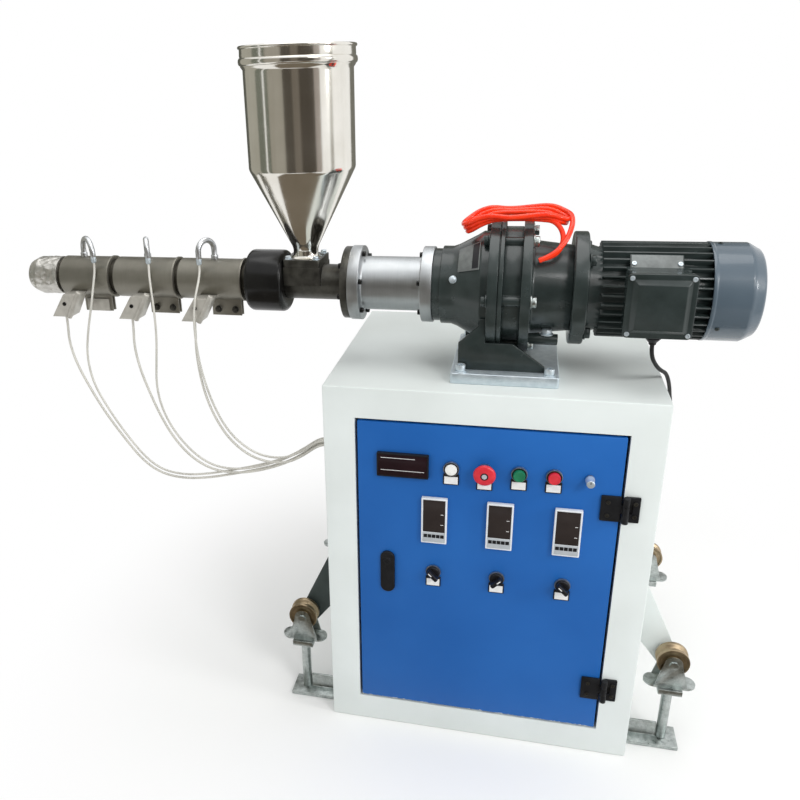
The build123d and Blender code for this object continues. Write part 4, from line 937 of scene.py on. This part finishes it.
# Motor
def makePlates():
    settle(curvedPlate("reducerPlate", (-68, -30), (79.6, 98.6), (24, 60), 1), "machine", "etchedPlate")
    settle(curvedPlate("reducerPlateInk", (-43, -32), (92.6, 98.1), (26, 58), 0.8), "machine", "mouldedBlack")
    motor = {"left": 222, "right": 303, "height": 34, "angle": 46.5, "radius": 86.5, "thick": 1.2,
             "padRim": 2, "padDepth": 14, "rivetInset": 4}
    out = outward(motor["angle"])
    middle = aroundDrive((motor["left"] + motor["right"]) / 2, motor["radius"], motor["angle"])
    half = Vector(((motor["right"] - motor["left"]) / 2, motor["height"] / 2, 0))
    rim = Vector((motor["padRim"], motor["padRim"], 0))
    pad = block("motorPad", -half - rim - Vector((0, 0, motor["padDepth"])), half + rim)
    plate = block("motorPlate", -half, half + Vector((0, 0, motor["thick"])))
    for piece, edge, finish in ((pad, 1, "enamelSlate"), (plate, 0.4, "etchedPlate")):
        roundEdges(piece, edge, 2)
        piece.data.transform(Matrix.Translation(middle * mm) @ turnTo(out))
        settle(piece, "machine", finish)
    rivetX = half.x - motor["rivetInset"]
    rivets = [(middle + out * motor["thick"] + Vector((x, 0, 0)), out) for x in (-rivetX, rivetX)]
    fastened("plateRivets", screwMaster, rivets, "machine", "zincBright")


def makeMotor():
    motor = {"boltCircle": 91, "lidInset": 7, "lidSink": 9.2}
    dress("motor_adapter_flange", 1.2, "enamelSlate")
    dress("motor_frame", 0.7, "enamelSlate", segments=1)
    dress("terminal_box", 1.5, "enamelSlate")
    dress("terminal_box_lid", 1.5, "enamelSlate")
    adapterRight = boxOf("motor_adapter_flange")[1].x
    bolts = [(aroundDrive(adapterRight, motor["boltCircle"], angle), (1, 0, 0)) for angle in evenly(4, 45)]
    fastened("motorBolts", hexMaster, bolts, "machine", "enamelSlate")
    low, high = boxOf("terminal_box_lid")
    inset = motor["lidInset"]
    screws = [((x, low.y + motor["lidSink"], z), forward) for x in (low.x + inset, high.x - inset)
              for z in (low.z + inset, high.z - inset)]
    fastened("lidScrews", screwMaster, screws, "machine", "zincBright")
    makePlates()


def makeFanCover():
    cover = {"radius": 86, "chamferLong": 22, "chamferDeep": 12, "dish": 58, "lip": 5, "drawn": 0.8}
    left, right = (corner.x for corner in boxOf("fan_cover"))
    radius, dish, wall = cover["radius"], cover["dish"], cover["radius"] - cover["drawn"]
    lip, chamfer, tip = left + cover["lip"], right - cover["chamferLong"], radius - cover["chamferDeep"]
    profile = [(left, radius - 3), (left, radius), (lip, radius), (lip + 1, wall), (chamfer, wall),
               (chamfer + 4, radius - 2.4), (right - 3, tip + 1), (right, tip - 3), (right, dish),
               (right - 4, dish - 4), (right - 4, 50), (right - 7, 49), (right - 7, 17), (right - 4, 16),
               (right - 4, 0)]
    shell = roundEdges(driveTurned("fanCoverShell", held(profile, 2.5)), 0.8, 2)
    settle(shell, "machine", "enamelCover", ("fan_cover",))
    grille = {"rings": (22, 29, 36, 43), "wire": 1.3, "spokes": 8, "depth": 5, "spokeDepth": 5.4}
    wires = []
    for ring in grille["rings"]:
        clearSelection()
        bpy.ops.mesh.primitive_torus_add(major_radius=ring * mm, minor_radius=grille["wire"] * mm,
                                         major_segments=64, minor_segments=8, rotation=(0, pi / 2, 0),
                                         location=Vector((right - grille["depth"], axisY, axisZ)) * mm)
        wires.append(bpy.context.object)
    hub = Matrix.Translation(Vector((right - grille["spokeDepth"], axisY, axisZ)) * mm)
    for angle in evenly(grille["spokes"], 0):
        bar = block("spoke", (-1, -1.5, 16), (1, 1.5, 50))
        bar.data.transform(hub @ Matrix.Rotation(radians(angle), 4, "X"))
        wires.append(roundEdges(bar, 0.4, 1))
    settle(joined("fanGrille", wires), "machine", "enamelCover")
    screws = [(aroundDrive(left + 16, radius - 1.2, angle), outward(angle)) for angle in (4, 123, 243)]
    fastened("coverScrews", screwMaster, screws, "machine", "enamelSlate")


def makeGland():
    low, high = boxOf("cable_gland")
    dress("cable_gland", 1.2, "mouldedBlack")
    foot = ((low.x + high.x) / 2, (low.y + high.y) / 2, low.z)
    profile = [(0, 3.6), (0, 6.5), (-4, 5.8), (-5, 4.6), (-5, 3.6), (0, 3.6)]
    settle(turned("glandSeal", profile, foot, "upright", 40), "machine", "mouldedRubber")
    low, high = boxOf("cable_grommets")
    rings = []
    for centre, radius, side in (((low.x, -145, 602), 22, 1), ((high.x, 0, 650), 11, -1)):
        profile = [(0, 0), (0, radius - 2), (side * 1.5, radius), (side * 6, radius), (side * 6, 0)]
        rings.append(roundEdges(turned("grommet", profile, centre, "drive", 48), 0.8, 2))
    settle(joined("grommetRings", rings), "machine", "mouldedRubber", ("cable_grommets",))


makeMotor()
makeFanCover()
makeGland()
print("motor made")


# Lantern, feed throat and hopper
def makeLantern():
    lantern = {"flange": 21, "flangeRadius": 70.5, "tube": 50.5, "bolts": 6, "circle": 60.5}
    left, right, radius, tube = lanternLow.x, lanternHigh.x, lantern["flangeRadius"], lantern["tube"]
    inner, outer = left + lantern["flange"], right - lantern["flange"]
    side = [(left, 0), (left, radius), (inner, radius), (inner, tube + 3), (inner + 3, tube)]
    piece = roundEdges(driveTurned("lanternTurned", side + mirrored(side, (left + right) / 2)), 1, 3)
    settle(piece, "machine", "turnedAluminium", ("coupling_lantern",))
    angles = evenly(lantern["bolts"], 15)
    places = [(aroundDrive(outer, lantern["circle"], angle), (-1, 0, 0)) for angle in angles]
    places += [(aroundDrive(inner, lantern["circle"], angle), (1, 0, 0)) for angle in angles]
    fastened("lanternBolts", smallCapMaster, places, "machine", "blackOxide")


def makeThroat():
    throat = {"flange": 14, "circle": 57, "bolts": 6, "plateInset": (9, 10)}
    dress("feed_throat", 1.6, "oiledSteel")
    dress("hopper_flange", 1.6, "oiledSteel")
    flangeBack = boxOf("feed_throat")[1].x - throat["flange"]
    bolts = [(aroundDrive(flangeBack, throat["circle"], angle), (-1, 0, 0))
             for angle in evenly(throat["bolts"], 45)]
    fastened("throatBolts", smallHexMaster, bolts, "machine", "blackOxide")
    low, high = boxOf("hopper_flange")
    insetX, insetY = throat["plateInset"]
    corners = [((x, y, high.z), upward) for x in (low.x + insetX, high.x - insetX)
               for y in (low.y + insetY, high.y - insetY)]
    fastened("hopperBolts", smallHexMaster, corners, "machine", "zincBright")


def makeHopper():
    hopper = {"sheet": 1.5, "foot": 30, "neck": 24, "neckHigh": 18, "cone": 147, "body": 99, "collar": 103,
              "collarHigh": 38}
    low, high = boxOf("hopper")
    centre = ((low.x + high.x) / 2, (low.y + high.y) / 2, low.z)
    top, neckTop = high.z - low.z, hopper["neckHigh"]
    coneTop, step = neckTop + hopper["cone"], top - hopper["collarHigh"]
    neck, body, collar = hopper["neck"], hopper["body"], hopper["collar"]
    bead = [(step + 12 - 6.5 * cos(pi * t / 8), collar + 3.2 * sin(pi * t / 8)) for t in range(9)]
    rim = [(top - 3 - 3 * cos(pi * t / 6), collar + 2.6 * sin(pi * t / 6)) for t in range(7)]
    outside = [(0, hopper["foot"]), (1, neck + 3), (5, neck), (neckTop - 3, neck), (neckTop + 4, neck + 2),
               (coneTop - 2, body - 1), (coneTop + 2, body), (step - 1, body), (step + 3, collar - 1)]
    outside += bead + [(top - 16, collar + 0.4), (top - 9, collar)] + rim
    inside = [(top - 1, collar), (step + 4, collar), (step, body), (coneTop + 2, body), (coneTop - 2, body - 1),
              (neckTop + 4, neck + 2), (neckTop - 3, neck), (0, neck)]
    profile = outside + [(along, radius - hopper["sheet"]) for along, radius in inside] + outside[:1]
    spun = turned("hopperSpun", held(profile, 4), centre, "upright", 128)
    settle(spun, "machine", "polishedStainless", ("hopper",), 40)


makeLantern()
makeThroat()
makeHopper()
print("hopper made")


# Barrel, ring nut, heaters and nozzle head
def makeBarrel():
    nut = {"radius": 60, "bore": 34.2, "edge": 10}
    left, right = (corner.x for corner in boxOf("ring_nut"))
    bend = [pi / 2 * t / 5 for t in range(6)]
    edge = [(left + nut["edge"] * (1 - cos(t)), nut["radius"] - nut["edge"] * (1 - sin(t))) for t in bend]
    side = [(left, nut["bore"])] + edge
    profile = side + mirrored(side, (left + right) / 2) + side[:1]
    settle(driveTurned("ringNutTurned", profile), "machine", "blackOxide", ("ring_nut",), 40)
    nodes["barrel"].data.materials.clear()
    nodes["barrel"].data.materials.append(finishes["nitridedSteel"])
    dress("heater_bands", 0.7, "heaterSheet")
    dress("thermocouples", 0.5, "satinChrome")
    dress("heater_terminal_caps", 2.2, "capSheet", segments=3)


def makeCapDetails():
    cap = {"lean": 28, "topWidth": 36, "sleeve": 6, "sleeveFoot": (14, 3, -2), "screwRise": 4}
    ear = {"fromLead": 55, "boltSide": 18, "boltFront": 7, "boltRise": 12, "plateHalf": 25, "plateHigh": 26,
           "plateFront": 9}
    low, high = boxOf("heater_terminal_caps")
    earFoot = boxOf("heater_bands")[0].z
    lefts = [route[0][0] for kind, length, route in routes.values() if kind == "lead"]
    screws = []
    for x in lefts:
        screws.append(((x + cap["lean"] * 0.45 - 2, low.y, (low.z + high.z) / 2 + cap["screwRise"]), forward))
        foot = Vector((x, low.y, low.z)) + Vector(cap["sleeveFoot"])
        head = Vector((x + cap["lean"] + cap["topWidth"] / 2 - 1, low.y + 4, high.z + 5))
        run = head - foot
        profile = [(0, 0), (0, cap["sleeve"]), (run.length, cap["sleeve"]), (run.length, 0)]
        sleeve = roundEdges(turned("capSleeve", profile, (0, 0, 0), "upright", 28), 1.8, 3)
        sleeve.data.transform(Matrix.Translation(foot * mm) @ turnTo(run.normalized()))
        settle(sleeve, "machine", "capSheet")
    fastened("capScrews", screwMaster, screws, "machine", "blackOxide")
    bolts = [((x + ear["fromLead"] + side, axisY - ear["boltFront"], earFoot + ear["boltRise"]), forward)
             for x in lefts[1:] for side in (-ear["boltSide"], ear["boltSide"])]
    fastened("clampBolts", smallHexMaster, bolts, "machine", "oiledSteel")
    earX = lefts[0] + ear["fromLead"]
    plate = block("earPlate", (earX - ear["plateHalf"], axisY - ear["plateFront"], earFoot),
                  (earX + ear["plateHalf"], axisY - ear["boltFront"], earFoot + ear["plateHigh"]))
    settle(roundEdges(plate, 0.6, 2), "machine", "capSheet")


def makeProbeEnds():
    profile = [(4, 0), (4, 3), (3, 5.4), (-9, 5.4), (-12, 3.4), (-12, 0)]
    ends = [route[0] for kind, length, route in routes.values() if kind == "thermo"]
    ferrules = [roundEdges(turned("ferrule", profile, end, "upright", 32), 0.6, 2) for end in ends]
    settle(joined("probeFerrules", ferrules), "machine", "zincBright")


def makeHead():
    head = {"radius": 38.8, "tip": 29, "taper": 20, "bore": 8, "boreDeep": 40, "short": 6,
            "fold": 13, "crush": 6, "ringEvery": 4, "smoothEnd": 6}
    left, right = (corner.x for corner in boxOf("nozzle_head"))
    left += head["short"]
    radius, tip, bore, boreEnd = head["radius"], head["tip"], head["bore"], left + head["boreDeep"]
    rings = int((right - left - head["taper"]) / head["ringEvery"])
    along = [(left + head["taper"] + head["ringEvery"] * ring, radius) for ring in range(rings)]
    profile = [(boreEnd, 0), (boreEnd, bore), (left, bore), (left, 14), (left, 20), (left, tip),
               (left + 5, tip + 3), (left + 10, tip + 5), (left + 15, tip + 8)]
    profile += along + [(right, radius), (right, 0)]
    piece = driveTurned("nozzleHeadTurned", profile, 96)
    folds = bpy.data.textures.new("foilFolds", "CLOUDS")
    folds.noise_scale = head["fold"] * mm
    skin = piece.vertex_groups.new(name="skin")
    for vertex in piece.data.vertices:
        away = sqrt((vertex.co.y / mm - axisY) ** 2 + (vertex.co.z / mm - axisZ) ** 2)
        if away > tip and vertex.co.x < (right - head["smoothEnd"]) * mm:
            skin.add([vertex.index], 1, "REPLACE")
    applyModifier(piece, "DISPLACE", texture=folds, strength=head["crush"] * mm, mid_level=0.6,
                  vertex_group="skin")
    settle(piece, "machine", "crinkledFoil", ("nozzle_head",), 25)


makeBarrel()
makeCapDetails()
makeProbeEnds()
makeHead()
for master in (hexMaster, smallHexMaster, capMaster, smallCapMaster, screwMaster):
    bpy.data.objects.remove(master)
print("barrel made")


# Studio: a pale floor that turns white away from the object, soft lamps, and cards that only reflections see
def seenRays(tree):  # rays that look at the background: from the camera, in metal and through glass
    path = addNode(tree, "LightPath").outputs
    seen = addNode(tree, "Math", {0: path["Is Camera Ray"], 1: path["Is Glossy Ray"]}, operation="MAXIMUM")
    seen = addNode(tree, "Math", {0: seen.outputs[0], 1: path["Is Transmission Ray"]}, operation="MAXIMUM")
    return seen.outputs[0]


def makeFloor():
    floorLook = {"colour": "#f7f7f6", "near": 0.55, "far": 1.15, "rough": 0.8, "shine": 0.1, "size": 14}
    clearSelection()
    bpy.ops.mesh.primitive_plane_add(size=floorLook["size"], location=(0, 0, -0.0005))
    floor = bpy.context.object
    floor.name = "studioFloor"
    finish = bpy.data.materials.new("paleFloor")
    finish.use_nodes = True
    tree = finish.node_tree
    shader = tree.nodes["Principled BSDF"]
    shader.inputs["Base Color"].default_value = hexColour(floorLook["colour"])
    shader.inputs["Roughness"].default_value = floorLook["rough"]
    shader.inputs["Specular IOR Level"].default_value = floorLook["shine"]
    place = addNode(tree, "TexCoord").outputs["Object"]
    away = addNode(tree, "VectorMath", {0: place}, operation="LENGTH")
    fade = addNode(tree, "MapRange", {"Value": away.outputs["Value"], "From Min": floorLook["near"],
                                      "From Max": floorLook["far"]}, interpolation_type="SMOOTHSTEP")
    white = addNode(tree, "Emission", {"Color": (1, 1, 1, 1), "Strength": 1})
    share = addNode(tree, "Math", {0: fade.outputs[0], 1: seenRays(tree)}, operation="MULTIPLY")
    mixed = addNode(tree, "MixShader", {0: share.outputs[0], 1: shader.outputs[0], 2: white.outputs[0]})
    tree.links.new(mixed.outputs[0], tree.nodes["Material Output"].inputs["Surface"])
    floor.data.materials.append(finish)


def makeLamps():  # each lamp's place, aim, size in metres and power in watts
    lamps = {"keyLamp": ((2.2, -2.5, 2.9), (0, 0, 0.7), 1.2, 50),
             "fillLamp": ((-2.5, -2.2, 1.7), (-0.2, 0, 0.7), 2.4, 15),
             "topLamp": ((-0.1, 0.1, 3.4), (0, 0, 0.7), 2.4, 36),
             "sideLamp": ((2.7, -0.75, 1.7), (0.3, 0, 0.8), 0.6, 20)}
    for name, (place, aim, size, power) in lamps.items():
        bpy.ops.object.light_add(type="AREA", location=place)
        lamp = bpy.context.object
        lamp.name = name
        lamp.data.size = size
        lamp.data.energy = power
        lamp.visible_glossy = name != "fillLamp"
        lamp.rotation_euler = (Vector(aim) - Vector(place)).to_track_quat("-Z", "Y").to_euler()


def makeWorld():
    daylight = {"onObject": 0.56, "seen": 1}
    world = bpy.data.worlds.new("studioWorld")
    bpy.context.scene.world = world
    world.use_nodes = True
    tree = world.node_tree
    background = tree.nodes["Background"]
    background.inputs["Color"].default_value = (1, 1, 1, 1)
    background.inputs["Strength"].default_value = daylight["onObject"]
    bright = addNode(tree, "Background", {"Color": (1, 1, 1, 1), "Strength": daylight["seen"]})
    mixed = addNode(tree, "MixShader", {0: seenRays(tree), 1: background.outputs[0], 2: bright.outputs[0]})
    tree.links.new(mixed.outputs[0], tree.nodes["World Output"].inputs["Surface"])


def makeCard(name, colour, corners):
    mesh = bpy.data.meshes.new(name)
    mesh.from_pydata([Vector(corner) for corner in corners], [], [(0, 1, 2, 3)])
    card = bpy.data.objects.new(name, mesh)
    bpy.context.scene.collection.objects.link(card)
    finish = bpy.data.materials.new(name + "Cloth")
    finish.use_nodes = True
    tree = finish.node_tree
    # an even glow that only glossy rays see: a painted reflection, not a lamp
    even = addNode(tree, "Emission", {"Color": hexColour(colour), "Strength": 1})
    tree.links.new(even.outputs[0], tree.nodes["Material Output"].inputs["Surface"])
    mesh.materials.append(finish)
    card.visible_camera = False
    card.visible_diffuse = False
    card.visible_shadow = False


def makeCards():  # upright cards stand round the hopper, each over a range of degrees from the camera's side; their even glowing colours are painted reflections, the upright streaks seen in the polished hopper
    cards = {"far": 2.4, "high": 2.5, "floorLeft": -1.2, "floorRight": 0.9, "floorFront": -2, "floorBack": -0.3,
             "floorRise": 0.002,
             "spans": ((-170, -140, "#5a5b53"), (-140, -98, "#a9a79d"), (-98, -79, "#74776d"),
                       (-75, -66, "#74776d"), (-66, -33, "#a09c92"), (-33, -14, "#544f48"), (-14, 0, "#766f66"),
                       (0, 30, "#4f4942"), (30, 42, "#a59d97"), (62, 70, "#a8a6a0"), (128, 172, "#77766e"))}
    low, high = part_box("hopper")
    level = Vector((1, 1, 0))
    centre = (low + high) / 2 * level
    toCamera = (Vector(view["place"]) * mm * level - centre).normalized()
    aside = Vector((-toCamera.y, toCamera.x, 0))
    top = Vector((0, 0, cards["high"]))
    for number, (start, end, colour) in enumerate(cards["spans"]):
        first, last = (centre + (toCamera * cos(radians(a)) + aside * sin(radians(a))) * cards["far"]
                       for a in (start, end))
        makeCard(f"uprightCard{number}", colour, (first, last, last + top, first + top))
    left, right, rise = cards["floorLeft"], cards["floorRight"], cards["floorRise"]
    front, back = cards["floorFront"], cards["floorBack"]
    corners = ((left, front, rise), (right, front, rise), (right, back, rise), (left, back, rise))
    # a dark glowing card over the floor, seen only in reflections: painted dark reflection on the faces that
    # look down
    makeCard("floorCard", "#766d60", corners)


makeFloor()
makeLamps()
makeWorld()
makeCards()
bpy.context.scene.view_settings.view_transform = "Standard"
print("studio made")
